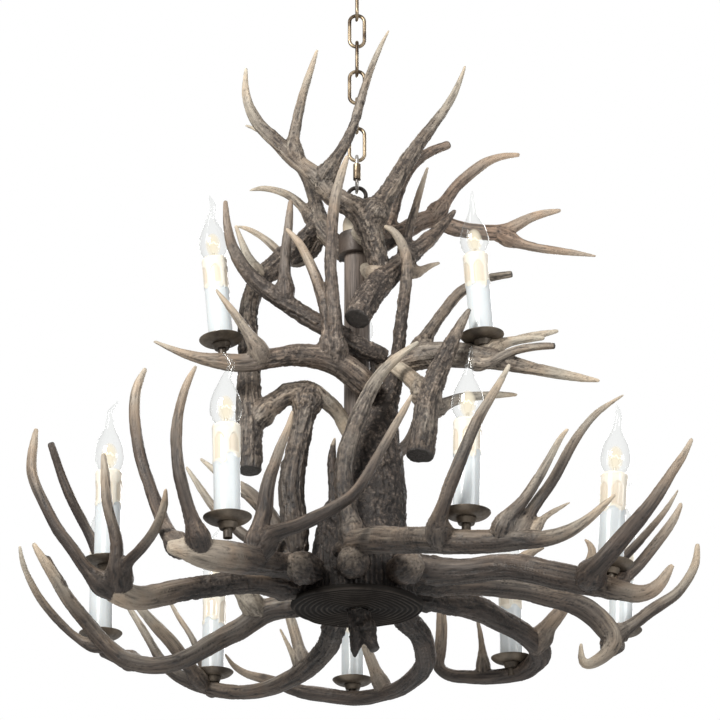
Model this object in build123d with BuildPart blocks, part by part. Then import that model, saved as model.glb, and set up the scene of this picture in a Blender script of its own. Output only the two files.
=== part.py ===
from build123d import *
import os
from math import cos, sin, pi

os.makedirs("parts", exist_ok=True)

# Antler chandelier on a chain. Millimetres, +Z up, origin on the ceiling face.
# Ceiling side
CEILING_Z = 0.0
BRACKET_L, BRACKET_W, BRACKET_T = 104.0, 20.0, 2.0
BRACKET_DROP = 12.0
SCREW_SPACING, SCREW_HOLE_R = 84.0, 2.5
NIPPLE_TOP_R = 5.0
CANOPY_R, CANOPY_H, CANOPY_T = 60.0, 30.0, 1.2
LOOP_R, LOOP_WIRE = 12.5, 5.0
LOOP_Z = -51.5
# Chain
LINK_L, LINK_W, LINK_WIRE = 50.0, 23.4, 4.6
LINK_GAP = 0.3
LINK_TOP_Z = LOOP_Z - LOOP_R - LOOP_WIRE / 2 + LOOP_WIRE + LINK_GAP + LINK_WIRE
LINK_PITCH = LINK_L - 2 * LINK_WIRE - LINK_GAP
QUICK_L = 52.0
QUICK_TOP_Z = LINK_TOP_Z - 5 * LINK_PITCH - LINK_L + 2 * LINK_WIRE + LINK_GAP
QUICK_BOTTOM_Z = QUICK_TOP_Z - QUICK_L
SLEEVE_R, SLEEVE_L, SLEEVE_Z = 4.8, 20.5, -327.3
EYE_R, EYE_WIRE = 11.0, 5.0
EYE_Z = QUICK_BOTTOM_Z + LINK_WIRE + LINK_GAP + EYE_WIRE / 2 - EYE_R
# Column and hub
COLUMN_R, COLUMN_WALL = 15.6, 1.5
COLUMN_BOTTOM, COLUMN_TOP = -800.0, -410.0
COLLAR_R, COLLAR_BOTTOM, COLLAR_TOP = 22.5, -439.0, -410.0
CUP_TOP = -380.0
ROD_R = 5.0
DISC_R, DISC_TOP, DISC_BOTTOM = 76.9, -879.0, -887.0
NUT_BOTTOM = -893.0
# Lights, heights along each candle's own axis from its dish rim
DISH_R, DISH_DEPTH, DISH_T = 26.0, 7.0, 1.2
NIPPLE_R, NIPPLE_BOTTOM, NIPPLE_TOP = 5.0, -24.0, 58.0
SEAT_H, SEAT_R, SEAT_CLEAR = -9.0, 26.6, 60.0
CANDLE_R, CANDLE_TOP_R, CANDLE_BORE = 14.5, 15.5, 13.0
CANDLE_TOP, DRIP_FROM = 103.0, 63.0
SOCKET_R, SOCKET_BORE, SOCKET_FROM, SOCKET_TO = 11.5, 7.1, 52.0, 98.0
CAP_R = 7.0
BULB_R, BULB_TOP = 17.5, 189.0

# Antler skeletons: every branch is a row of (x, y, z, radius)
ANTLER_FRONT_LEFT = [
    [(-40.3, -18.6, -845.2, 12.68), (-63.1, -34.4, -848.8, 14.91), (-79.1, -57.2, -853.5, 14.77), (-92, -81.7, -858.9, 14.89), (-102, -107.2, -865.3, 15.21), (-109.8, -133.4, -872.4, 15.72), (-115.9, -159.9, -879.8, 16.29), (-120.5, -186.7, -887.5, 16.88), (-124.8, -213.4, -895.4, 17.47), (-131.2, -239.8, -903, 17.76), (-142.6, -264.7, -909.5, 17.9), (-164, -282, -910.8, 16.13), (-191.5, -283, -905.8, 9.42), (-196.6, -283.2, -904.8, 7.72), (-199.6, -283.3, -904.3, 3.96)],
    [(-181, -282, -907.6, 11.51), (-194.8, -263.3, -890.6, 9.8), (-203.7, -242.4, -872.5, 8.78), (-211.2, -223.4, -852, 8.08), (-219.6, -210.9, -827.5, 7.63), (-228.6, -201.5, -801.6, 7.32), (-237.1, -193.2, -775.2, 7.12), (-243.4, -188, -747.5, 7.03), (-247.2, -185.4, -719, 6.94), (-246.6, -183.6, -690.2, 6.32), (-237.6, -182, -662.8, 3.36), (-237, -181.9, -661.1, 2.76), (-236.7, -181.8, -660, 1.41)],
    [(-161.9, -286, -910.1, 11.49), (-171, -301.2, -885.5, 8.37), (-180.1, -307.7, -857.4, 7.39), (-187.2, -310.9, -828.2, 7.01), (-190.3, -310.5, -798, 6.78), (-189.2, -308.7, -767.8, 6.26), (-183.5, -305.9, -738.2, 5.19), (-172.7, -303, -710.1, 2.78), (-172.1, -302.9, -708.7, 2.28), (-171.8, -302.8, -707.8, 1.17)],
    [(-110.9, -155.5, -873.5, 12.08), (-107.4, -156.5, -843.8, 10), (-101.7, -155.2, -814.5, 9.39), (-97.9, -153.1, -784.8, 8.53), (-89.8, -150.4, -756.2, 6.82), (-80.8, -147.2, -727.7, 5.1), (-73.1, -145.3, -698.9, 2.48), (-72.8, -145.2, -697.6, 2.04), (-72.6, -145.2, -696.8, 1.04)],
    [(-108.8, -152.5, -872.6, 12.09), (-92.8, -162.8, -852.4, 9.85), (-67.3, -171, -844.6, 8.72), (-42.2, -171.2, -832.4, 8), (-19.2, -167, -817.2, 7.25), (-0.3, -160.1, -798.1, 6.8), (13.4, -153.9, -774.4, 6.58), (25.5, -148.2, -749.8, 6.18), (37.5, -143.5, -725, 5.54), (50.1, -139.4, -700.3, 4.73), (61.9, -135, -675.3, 2.61), (62.5, -134.8, -674, 2.14), (62.9, -134.7, -673.3, 1.1)],
]

ANTLER_FRONT_RIGHT = [
    [(-21.7, -50.8, -834.1, 9.14), (-7.1, -73.7, -834, 13.42), (7, -96.8, -837.1, 14.69), (19.4, -120.3, -842.9, 15.14), (29.8, -144.3, -850.8, 15.3), (39.3, -168.3, -859.4, 15.35), (49, -192.3, -867.7, 15.25), (59.1, -216.3, -875.7, 15.07), (70, -240.1, -883.4, 14.93), (82.8, -262.9, -890.9, 14.83), (102.2, -280.1, -898.4, 14.23), (125.8, -292.5, -903.4, 13.17), (150.3, -304.1, -906.1, 12.16), (176.8, -310.1, -907.2, 10.31), (203.6, -314, -904.9, 8.79), (228.5, -315.1, -894.1, 6.94), (249.7, -314.6, -877.2, 5.15), (269.2, -313, -858.2, 2.09), (270, -312.9, -857.4, 1.71), (270.5, -312.9, -857, 0.88)],
    [(-3.4, -78.5, -836.2, 12.45), (-7, -71.5, -809, 11.95), (-12.8, -66.3, -781.7, 11.79), (-15, -62.8, -753.7, 11.84), (-13.3, -61.7, -725.4, 11.67), (-7, -61.3, -697.7, 11.22), (2.7, -61.8, -671.1, 10.33), (13.2, -63.7, -644.8, 9.29), (27.9, -67.2, -620.9, 7.9), (47.6, -70.9, -600.8, 6.02), (70.4, -73.1, -584, 3.52), (71.9, -73.2, -582.9, 2.89), (72.8, -73.3, -582.2, 1.48)],
    [(87.2, -276, -895.7, 12.61), (86.3, -300.8, -878.2, 8.66), (95.7, -311.8, -851.6, 7.74), (107.3, -316.3, -823.4, 7.41), (118.8, -318.6, -795.1, 7), (132.1, -318.9, -767.4, 6.3), (147.3, -317.8, -740.8, 5.06), (161.7, -316, -713.8, 2.98), (162.5, -315.9, -712.3, 2.44), (162.9, -315.8, -711.5, 1.25)],
    [(148.5, -304, -905.2, 10.39), (164.2, -311.6, -874.8, 7.39), (185.7, -313.1, -846.4, 6.08), (203.1, -312.7, -815.3, 4.95), (222, -312, -785.2, 2.64), (222.8, -312, -784, 2.16), (223.3, -312, -783.3, 1.11)],
    [(163, -306, -905.8, 9.34), (177.8, -300.9, -879.5, 7.51), (193.6, -295.7, -853.9, 6.68), (210.2, -292.4, -828.4, 6.35), (224.1, -289.7, -801.2, 5.87), (240.2, -287.8, -775.3, 5.2), (260.7, -286.5, -752.7, 3.93), (285.6, -285, -735.1, 1.93), (286.5, -284.9, -734.5, 1.58), (287, -284.9, -734.2, 0.81)],
    [(179.5, -308, -903.2, 6.23), (190.4, -300.3, -885.1, 4.55), (205.4, -293.1, -870.3, 3.65), (223.6, -288, -858.2, 1.89), (224.5, -287.8, -857.7, 1.55), (225, -287.6, -857.3, 0.8)],
]

ANTLER_LEFT = [
    [(-42.7, -8.8, -860.2, 11.54), (-66.4, -22.2, -867.5, 14.68), (-87.4, -41.1, -871.4, 14.78), (-110.2, -58.1, -872.8, 14.26), (-134.7, -71.8, -877.2, 13.8), (-159.7, -83.4, -884.1, 13.47), (-184.4, -95.6, -891.5, 13.38), (-207.6, -109.4, -900.7, 13.48), (-229.6, -124.1, -911, 13.95), (-252.6, -140.1, -914.1, 14.94), (-275.6, -154, -905.2, 12.58), (-281.3, -157.4, -903, 10.31), (-284.6, -159.4, -901.7, 5.28)],
    [(-268.1, -150, -910.8, 12.04), (-290.7, -165.4, -896.6, 8.63), (-309.5, -171.7, -872.9, 7.7), (-328.2, -175.1, -848.3, 7.08), (-343, -177.4, -821.1, 6.53), (-356.1, -177.8, -792.9, 6.35), (-359.9, -175.7, -762.4, 5.99), (-357.5, -172, -731.6, 3.56), (-357.4, -171.8, -729.7, 2.92), (-357.3, -171.6, -728.5, 1.5)],
    [(-261.4, -152, -909.1, 10.94), (-262.5, -173.3, -886.9, 8.15), (-264.1, -179.6, -856.8, 7.17), (-272.4, -182.4, -827.1, 6.45), (-276.8, -183, -796.4, 5.9), (-279.9, -183, -765.5, 3.65), (-280.1, -183, -763.5, 2.99), (-280.2, -183, -762.3, 1.53)],
    [(-259.4, -150, -909.6, 10.95), (-251.6, -172, -890.4, 7.41), (-238.1, -198.4, -884.8, 6.63), (-226.7, -226.5, -883, 6.31), (-216, -254.7, -879.3, 5.89), (-205.9, -281.4, -869.4, 5.32), (-200.5, -304, -850, 2.72), (-200.3, -305.1, -849.1, 2.23), (-200.1, -305.8, -848.5, 1.14)],
    [(-267.3, -136, -906.4, 9.9), (-275, -115.3, -889.3, 8.48), (-283.2, -96.3, -870.7, 7.63), (-292.7, -86.3, -846.9, 7.14), (-304.2, -86.7, -821.6, 6.68), (-317.5, -94.1, -798.3, 6.28), (-329.6, -97.6, -773.5, 5.97), (-339.8, -101.2, -747.8, 5.55), (-349, -106, -722, 4.9)],
]

ANTLER_LEFT_REAR = [
    [(-26.9, 30.4, -864.8, 10.51), (-48.1, 49.3, -863, 12.67), (-72.8, 63, -862.8, 13.48), (-99.9, 71.4, -864.2, 14.19), (-124.1, 76.1, -877.3, 13.35), (-148, 77.9, -892.5, 12.74), (-172.4, 75.3, -906.4, 12.02), (-195.5, 71.1, -922.1, 10.94), (-222.1, 74.6, -931, 10.35), (-250.4, 76.1, -931.3, 10.21), (-277.1, 75.9, -922.1, 10.22), (-298.8, 73.8, -903.9, 9.99), (-317.3, 69.5, -882.8, 9.49), (-335.7, 63.3, -862.1, 8.86), (-351.5, 56.4, -839.4, 8.21), (-366.8, 49.3, -816.6, 6.62), (-382.2, 44, -793.3, 3.55), (-383.2, 43.6, -791.7, 2.91), (-383.9, 43.4, -790.8, 1.49)],
    [(-295.5, 76, -909.5, 7.06), (-322.1, 82.3, -901.7, 5.86), (-344.8, 81.3, -884.7, 5.62), (-364.5, 78.1, -864.4, 5.49), (-381.3, 72.8, -842, 5.13), (-394.1, 67.6, -817.2, 4.39), (-401.4, 63, -790.1, 2.74), (-401.8, 62.8, -788.6, 2.25), (-402, 62.6, -787.8, 1.15)],
    [(-343.4, 60, -853.1, 5.9), (-350.9, 56.3, -837.7, 5.51), (-358.6, 52.7, -822.3, 4.99), (-366.8, 49, -807.2, 4.26)],
    [(-257.6, 80, -927.9, 9.41), (-271.5, 93.2, -920.6, 8.95), (-286.3, 104.7, -912.1, 8.95), (-301.7, 114, -902.2, 9.54)],
    [(-112.3, 72.8, -870.1, 10.64), (-126.1, 66.6, -857.7, 10.64), (-139.4, 61.3, -844.4, 8.58), (-152.6, 57.6, -830.5, 4.73), (-154.3, 57.1, -828.6, 3.88), (-155.4, 56.8, -827.5, 1.99)],
    [(-67.2, 61.1, -863.9, 11.79), (-72.2, 70.9, -838.5, 11.91), (-78.1, 79.9, -813, 11.9), (-85.2, 87.9, -787.5, 11.71), (-94.2, 95.1, -762.3, 11.42), (-105.8, 102, -738.2, 10.95), (-119.8, 111.8, -716.6, 10.25), (-135.6, 125.1, -698.1, 9.17), (-153.9, 137.3, -681.5, 7.67), (-174.2, 145.1, -664.4, 5.53), (-194.2, 149.7, -645.9, 2.74), (-195.3, 150, -644.9, 2.25), (-196, 150.1, -644.3, 1.15)],
    [(-87.3, 76.4, -786.8, 9.57), (-108.2, 93, -777.5, 8.56), (-128.5, 108.2, -765.4, 7.84), (-147.1, 119.9, -747.8, 7.46), (-165.1, 128.6, -728, 6.79), (-181.9, 135.3, -706.5, 5.86), (-196.6, 140.1, -682.9, 4.81), (-211.5, 143.8, -659.3, 2.85), (-212.4, 144, -658, 2.34), (-212.9, 144.2, -657.2, 1.2)],
]

ANTLER_REAR_LEFT = [
    [(-14, 38.3, -866, 11.7), (-21.2, 63.8, -871.7, 12.81), (-27.3, 89.2, -878.8, 13.66), (-31.7, 113.9, -888.6, 14.3), (-40.1, 138.1, -897.2, 13.81), (-51.6, 161.9, -903, 12.89), (-64.8, 185, -907.6, 12.16), (-81.3, 206, -911.8, 11.41), (-99, 226.2, -914.6, 10.61), (-118.4, 245, -915.3, 9.97), (-139.7, 261.5, -913.6, 9.71), (-160.5, 278, -908.6, 9.76), (-183.4, 290.1, -900.9, 9.81), (-207.4, 297.7, -891.2, 9.69), (-230.2, 303.7, -878, 8.82), (-248.8, 309.3, -859.4, 7.54), (-262.2, 314.9, -836.6, 6.25), (-275.4, 320, -813.5, 5.65), (-289.5, 324.2, -790.8, 4.87), (-303.5, 328, -768, 2.58), (-304.2, 328.2, -766.8, 2.12), (-304.7, 328.3, -766.1, 1.08)],
    [(-192.3, 288, -898.5, 8.8), (-206.6, 263, -885.3, 9.42), (-224.1, 249, -863.7, 9.34), (-244.8, 245.5, -840, 8.29), (-266.3, 243.3, -816.8, 6.53), (-286.4, 242, -792.3, 3.14), (-287.5, 241.9, -791, 2.58), (-288.2, 241.9, -790.2, 1.32)],
    [(-181.3, 296, -904.1, 7.55), (-187.1, 321.9, -888.9, 6.52), (-195.5, 339.7, -865.9, 5.78), (-204.7, 347.4, -837.8, 5.22), (-217.2, 351.8, -810.3, 4.61), (-233.5, 355, -784.6, 3.86), (-247.7, 357, -757.6, 2.09), (-248.3, 357.1, -756.6, 1.71), (-248.6, 357.1, -756, 0.88)],
    [(-62, 180.3, -906.9, 8.51), (-71.7, 192.8, -874.7, 7.77), (-80.6, 202.4, -841.4, 7.27), (-90.7, 209.5, -807.7, 3.73), (-91.2, 209.9, -805.8, 3.06), (-91.6, 210.1, -804.6, 1.56)],
    [(-68.3, 188.7, -908.3, 6.09), (-76.5, 184.2, -891.3, 3.72), (-85.3, 180.2, -874.4, 3.34), (-94.1, 176.7, -857.4, 2.2), (-94.7, 176.5, -856.4, 1.8), (-95, 176.4, -855.8, 0.92)],
]

ANTLER_REAR = [
    [(43.3, 38.6, -863.5, 11.71), (51.3, 64.2, -868.7, 13.43), (60.7, 89.3, -873.8, 14.25), (72.3, 113.4, -879.2, 14.19), (80, 138, -887.9, 13.72), (83, 164, -895.8, 13.14), (81.8, 190.9, -900.1, 12.82), (75, 217.1, -903.1, 12.2), (65.9, 242.8, -905.1, 11.49), (55.4, 268, -905.7, 10.8), (41.5, 291.4, -905.4, 10.39), (24.4, 312.8, -904.5, 10.14), (4.5, 331.3, -902.6, 9.96), (-20.1, 341.9, -898.3, 9.95), (-46.8, 345.5, -893.6, 9.95), (-73.7, 344.9, -889.3, 9.57), (-99.3, 341, -880.8, 8), (-125.1, 335, -874.3, 6.32), (-150.3, 329.2, -866.1, 4.94), (-168.3, 324, -846.6, 2.3), (-169.2, 323.8, -845.7, 1.89), (-169.7, 323.6, -845.1, 0.97)],
    [(37.8, 302, -903.8, 9.46), (25.5, 298, -881.6, 8.1), (15.9, 296.4, -857.8, 7.62), (6.3, 295, -834, 3.81), (5.6, 294.8, -832, 3.12), (5.1, 294.8, -830.9, 1.6)],
]

ANTLER_REAR_RIGHT = [
    [(59.6, 30, -862.5, 10.51), (80.9, 47.8, -861.8, 11.74), (100.4, 67.3, -858.7, 12.41), (118.9, 87.4, -854.4, 14.23), (137.5, 107.7, -850.4, 16.01), (156, 128.3, -851, 15.53), (174.6, 148.6, -854.9, 14.05), (193.1, 168.7, -859, 13.17), (210, 190.3, -863.6, 13.66), (223.5, 213.8, -869.4, 14.13), (225.7, 240.3, -875.9, 13.78), (215.6, 265.4, -881.5, 12.04), (194.7, 282.8, -885, 10.62), (168.7, 292.6, -885.7, 9.7), (141.5, 297.5, -884.2, 9.01), (114.2, 297.9, -880.1, 8.28), (104.1, 296.1, -857.8, 7.98), (107.3, 292.7, -830.5, 7.99), (107.5, 289.9, -802.9, 7.1), (105.9, 288, -775.2, 3.83), (105.8, 287.8, -773.1, 3.14), (105.7, 287.7, -771.9, 1.61)],
    [(220.5, 208, -871.1, 11.09), (234.2, 188.4, -851.8, 10.12), (252.2, 172.4, -832.8, 8.58), (269.2, 160, -810.4, 3.67), (270.3, 159.2, -808.9, 3.01), (270.9, 158.7, -808, 1.54)],
    [(160.2, 295, -883.7, 8.2), (158.9, 294.7, -855.4, 5.52), (156.2, 293, -827.1, 3.87), (150.2, 291, -799.5, 1.91), (150, 290.9, -798.5, 1.57), (149.9, 290.9, -797.9, 0.8)],
]

ANTLER_RIGHT_REAR = [
    [(59.1, 3.3, -857.6, 10.43), (82, 17, -852.5, 12.33), (105.5, 29.7, -847.6, 12.88), (130, 40.8, -843.8, 12.93), (155.5, 50, -842.5, 12.72), (181.3, 58.6, -842.9, 12.63), (207.3, 66.1, -845.3, 12.69), (233.4, 70.9, -850.6, 13.04), (259.5, 73.6, -857.7, 13.86), (282, 74.9, -872.5, 14.19), (298.1, 74.9, -894.3, 13.35), (292.5, 72, -918.6, 8.93), (269.6, 68.5, -932.3, 6.57), (262.9, 66, -908.8, 2.7), (262.5, 65.8, -907.4, 2.21), (262.3, 65.7, -906.5, 1.13)],
    [(295.9, 76, -901, 10.61), (319.8, 85.3, -883.7, 7.95), (343.5, 92.6, -864.9, 7.79), (367.7, 100.3, -846.9, 7.54), (390.2, 106.8, -826.7, 6.71), (406.3, 111.8, -800.7, 5.91), (413, 115, -770.7, 3.64), (413.5, 115.2, -768.7, 2.98), (413.7, 115.3, -767.5, 1.53)],
    [(296.1, 78, -900.4, 9.44), (301, 94.7, -901.8, 9.48), (306.7, 110.8, -898.6, 9.53), (312.8, 126, -892.5, 9.59)],
]

ANTLER_RIGHT = [
    [(47, -38, -846.7, 13.74), (71.7, -43.4, -852.1, 16.44), (98.4, -44.9, -855.7, 15.58), (124.5, -52, -857.1, 15.37), (149, -63.5, -857.6, 15.29), (172.2, -77, -860.6, 15.29), (194.4, -90.5, -868.1, 15.45), (215.5, -104.5, -877.8, 16.1), (236.4, -118.9, -887.2, 16.33), (257.7, -132.6, -896.8, 15.68), (279.7, -144.6, -907.2, 12.98), (302.7, -155.3, -916.3, 10.66), (326.4, -165.5, -911.8, 7.81), (342.4, -173, -891.3, 3.81), (343.6, -173.6, -889.7, 3.13), (344.3, -173.9, -888.8, 1.6)],
    [(254.2, -140, -896.1, 13.2), (261.2, -169.2, -891.3, 11.37), (279.7, -183.7, -873.3, 10.55), (299.7, -188.7, -850.8, 9.51), (319.3, -191.1, -827.6, 8.33), (336.9, -192.6, -802.7, 7.12), (353.9, -193, -777.4, 5.7), (369, -193, -751, 3.09), (369.8, -193, -749.5, 2.53), (370.4, -193, -748.6, 1.3)],
    [(282.6, -138, -904.7, 8.8), (296.4, -117.1, -886.2, 7.8), (314.8, -101.8, -866.5, 7.15), (333.4, -94.9, -842.6, 6.77), (352.2, -92.3, -818, 6.07), (367.3, -91, -790.9, 3.4), (368.2, -90.9, -789.2, 2.79), (368.8, -90.9, -788.3, 1.43)],
    [(270.8, -126, -896.3, 8.84), (277.6, -100.8, -878.9, 7.44), (291.3, -81, -859.1, 6.3), (311.8, -71.2, -837.5, 5.49), (332.2, -66.5, -814.1, 5), (352, -64.3, -789.8, 4.15), (368.8, -63, -763.4, 1.84), (369.3, -63, -762.5, 1.51), (369.7, -62.9, -762, 0.77)],
    [(254.6, -114, -883.2, 8.89), (259.9, -103.6, -868.7, 7.1), (263.9, -98.3, -851.6, 5.44), (257.2, -97, -835.1, 2.36), (256.7, -96.9, -833.9, 1.94), (256.4, -96.9, -833.1, 0.99)],
    [(182.5, -84.4, -857.1, 6.76), (190.7, -80.5, -849.2, 4.74), (200, -77.3, -842.4, 3.34), (210.8, -75.2, -837.5, 2.49), (212, -74.9, -836.9, 2.04), (212.7, -74.8, -836.6, 1.05)],
]

ANTLER_MID_LEFT = [
    [(-49.6, 28.2, -385.6, 12.4), (-66.7, 22.8, -406.6, 12.34), (-84.6, 17.6, -427, 12.81), (-102.6, 11.6, -447.1, 13.48), (-117.9, 3.7, -468.6, 13.41), (-127, -4.9, -493.1, 12.39), (-130.6, -13, -519.2, 12.16), (-130.6, -20.1, -545.9, 12.56), (-129.2, -26.5, -572.7, 13.13), (-127.9, -32, -599.7, 14.08), (-127.3, -36.6, -627, 15.63), (-127, -40.6, -654.3, 16.21), (-126, -44.6, -681.6, 16.34), (-124.4, -48.6, -708.9, 15.69), (-125, -52.4, -736.2, 14.46)],
    [(-120.5, -44.2, -674.7, 11.69), (-101, -41.5, -649.2, 11.79), (-73.7, -38.4, -632.5, 12.8), (-43.5, -32.9, -636.2, 11.1), (-20.4, -20.4, -654.5, 9.82), (-7.1, -5.9, -680, 8.28), (-5.2, -3.8, -683.6, 6.79), (-4.1, -2.6, -685.8, 3.48)],
    [(-56.6, -36, -629.7, 12.97), (-61, -37.8, -657.6, 13.39), (-65.8, -38.2, -685.5, 13.78), (-70.8, -37.9, -713.3, 14.16), (-74.5, -37.2, -741.3, 14.56), (-74.1, -35.4, -769.5, 15.06), (-70.7, -33.2, -797.4, 15.01), (-66.7, -31.7, -825.4, 12.66), (-65.8, -31.4, -832.3, 10.38), (-65.2, -31.2, -836.4, 5.32)],
    [(-118.1, 1.5, -468.7, 9.74), (-130.2, -6.1, -448.3, 6.43), (-139.7, -7.4, -425.2, 5.05), (-148.1, -9.3, -401.7, 3.06), (-148.7, -9.4, -400.1, 2.51), (-149, -9.5, -399.2, 1.29)],
]

ANTLER_UPPER_LEFT_REAR = [
    [(-14.7, 6.4, -435.5, 9.8), (-29.2, 16, -410.9, 12.38), (-43.3, 25.3, -385.9, 13.01), (-49.4, 33.9, -357.7, 9.48), (-55.7, 40.4, -328.9, 9.12), (-65.1, 47.7, -301.1, 8.36), (-78.4, 55.3, -275.1, 7.3), (-96.7, 62.9, -252.4, 6.14), (-117.7, 70.6, -232.1, 4.65), (-142.5, 76.6, -216.4, 2.31), (-143.6, 76.8, -215.7, 1.9), (-144.2, 77, -215.3, 0.97)],
    [(-45.9, 27.8, -380.3, 9.93), (-63, 40.3, -357.3, 7.29), (-80.6, 50.4, -333.3, 6.2), (-105.4, 59.9, -317, 5.01), (-135.1, 67.9, -313.7, 2.28), (-136.3, 68.2, -313.6, 1.87), (-137, 68.4, -313.5, 0.96)],
    [(-48.3, 30.2, -395.7, 9.92), (-63.6, 37.5, -420.4, 8.21), (-87.2, 48.8, -418.1, 6.52), (-105.3, 57.6, -396, 5.67), (-125.8, 65.2, -375.6, 4.48), (-151.2, 72.2, -362.2, 2.02), (-152.2, 72.5, -361.7, 1.65), (-152.7, 72.6, -361.4, 0.85)],
]

ANTLER_CROWN = [
    [(32.6, -24.3, -475.2, 10.87), (23.6, -30.2, -449, 14.14), (15.1, -35, -422.3, 16.16), (3.1, -38.3, -397, 15.84), (-20.4, -40.1, -381.5, 13.54), (-40.7, -41.4, -362, 12.3), (-59.7, -41.7, -341.1, 11.2), (-80.5, -41.5, -321.9, 10.78), (-99.2, -40.3, -300.5, 9.84), (-118.5, -39.3, -279.8, 8.89), (-132, -39.2, -255, 7.38), (-138.2, -39.6, -227.4, 5.38), (-138.1, -39.6, -199, 2.86), (-138.1, -39.6, -197.4, 2.35), (-138.1, -39.6, -196.5, 1.2)],
    [(-70.9, -41.8, -331.3, 9.78), (-77.9, -44.4, -301.1, 7.83), (-72.7, -46.6, -270.2, 7.03), (-66.3, -48.4, -239.5, 6.04), (-58.2, -49.7, -209.2, 4.81), (-49.7, -50.5, -178.9, 2.49), (-49.4, -50.6, -177.6, 2.04), (-49.1, -50.6, -176.8, 1.04)],
    [(-42.6, -42.3, -360.2, 10.97), (-29.7, -50.7, -337.1, 8.46), (-15.2, -56.5, -314.2, 7.52), (-4.2, -59.8, -288.9, 6.77), (3.1, -61.4, -262.1, 6.29), (10.2, -62.1, -235.3, 5.57), (18.4, -62.2, -208.7, 4.73), (28, -61.7, -182.7, 3.87), (39.1, -61, -157.2, 2.24), (39.6, -61, -156.1, 1.83), (39.9, -60.9, -155.4, 0.94)],
    [(14.5, -33.7, -426.2, 13.33), (10.2, -25.5, -418.3, 11.86), (6.4, -17, -410.6, 10.69), (3.7, -7.9, -403, 9.8), (2.4, -3.8, -399.7, 8.03), (1.7, -1.4, -397.7, 4.11)],
    [(10.9, -36.5, -408.8, 15.77), (27.1, -32.7, -384.4, 13.82), (41.7, -28.6, -359.1, 12.11), (54.5, -24.4, -332.9, 11.17), (68.5, -21, -307.1, 10.07), (83.6, -17.9, -282, 8.62), (99.5, -14.8, -257.4, 7.22), (114.7, -12, -232.3, 5.77), (126.5, -9.7, -205.4, 4.29), (136, -7.8, -177.5, 2.27), (136.4, -7.7, -176.4, 1.86), (136.6, -7.6, -175.7, 0.95)],
]

ANTLER_UPPER_STUB = [
    [(122.4, 40, -355.7, 3.5), (108.2, 30, -378.3, 7.04), (93.1, 19.8, -400.1, 9.43), (77.4, 8.6, -421.1, 11.09), (61.7, -3.6, -441.5, 12.68), (46.5, -16.9, -461.6, 14.3), (32.5, -30.7, -482.2, 15.65), (19.8, -44.3, -503.7, 16.58), (8.6, -56.7, -526.8, 16.93), (0, -68.4, -551.2, 15.92)],
    [(34.9, -30.4, -480.7, 12.04), (26.7, -23.9, -473.8, 11.44), (18.7, -17, -467.1, 10.7), (10.9, -9.6, -460.5, 9.72), (7.6, -6.5, -457.7, 7.97), (5.7, -4.6, -456, 4.08)],
    [(59.7, -4.9, -444.9, 9.75), (60.7, 3, -417.1, 6.88), (66.4, 8.5, -389.2, 6.17), (73.2, 12.7, -361.3, 5.51), (80.2, 16.7, -333.5, 4.5), (88.1, 21.1, -305.9, 2.5), (88.5, 21.3, -304.6, 2.05), (88.7, 21.4, -303.8, 1.05)],
    [(54.7, -7.5, -456.8, 9.73), (70.9, 5.1, -455.8, 6.98), (85.5, 15.5, -445.8, 4.85), (101, 24.1, -435.4, 2.46), (102, 24.7, -434.7, 2.02), (102.6, 25.1, -434.3, 1.03)],
]

ANTLER_UPPER_RIGHT_REAR = [
    [(15.9, 8.5, -434.6, 9.81), (30.7, 19.2, -413.7, 11.22), (47.8, 30.5, -395.1, 11.78), (65.8, 43, -378.3, 11.84), (84.7, 54.8, -361.7, 12.19), (108.4, 67, -360.3, 11.9), (133.5, 77.6, -364.5, 10.42), (159.8, 86.2, -363.6, 10.51), (185.7, 93.8, -358.5, 10.18), (209, 98.3, -344.1, 7.88), (232.8, 102.7, -330.9, 6.07), (259, 106.9, -322.9, 3.33), (260.7, 107.2, -322.3, 2.73), (261.7, 107.4, -322, 1.4)],
    [(178.6, 90.8, -362.5, 9.5), (207.9, 102.2, -371.9, 7.01), (239.6, 110, -375.9, 6.09), (271.7, 117.4, -376.9, 4.96), (303.8, 124, -379.1, 2.3), (305, 124.2, -379.2, 1.88), (305.8, 124.4, -379.2, 0.97)],
    [(94.2, 59.5, -358, 11.31), (108.2, 68, -334.6, 9.17), (121.4, 75.8, -310.6, 8.13), (138, 82.9, -288.6, 7.77), (157.6, 88.6, -268.8, 7.31), (180.8, 94.3, -253.5, 5.78), (208, 99.5, -246.8, 3.35), (209.7, 99.8, -246.3, 2.75), (210.8, 100, -246.1, 1.41)],
    [(33.4, 24.4, -409.4, 9.88), (40.2, 31.4, -379.6, 9), (47.2, 36, -349.2, 8.53), (55.6, 39.1, -319.1, 8.24), (69.5, 43.9, -291.4, 7.7), (90.8, 50.2, -269.3, 7.02), (117, 57.8, -253.7, 5.85)],
]

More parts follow.
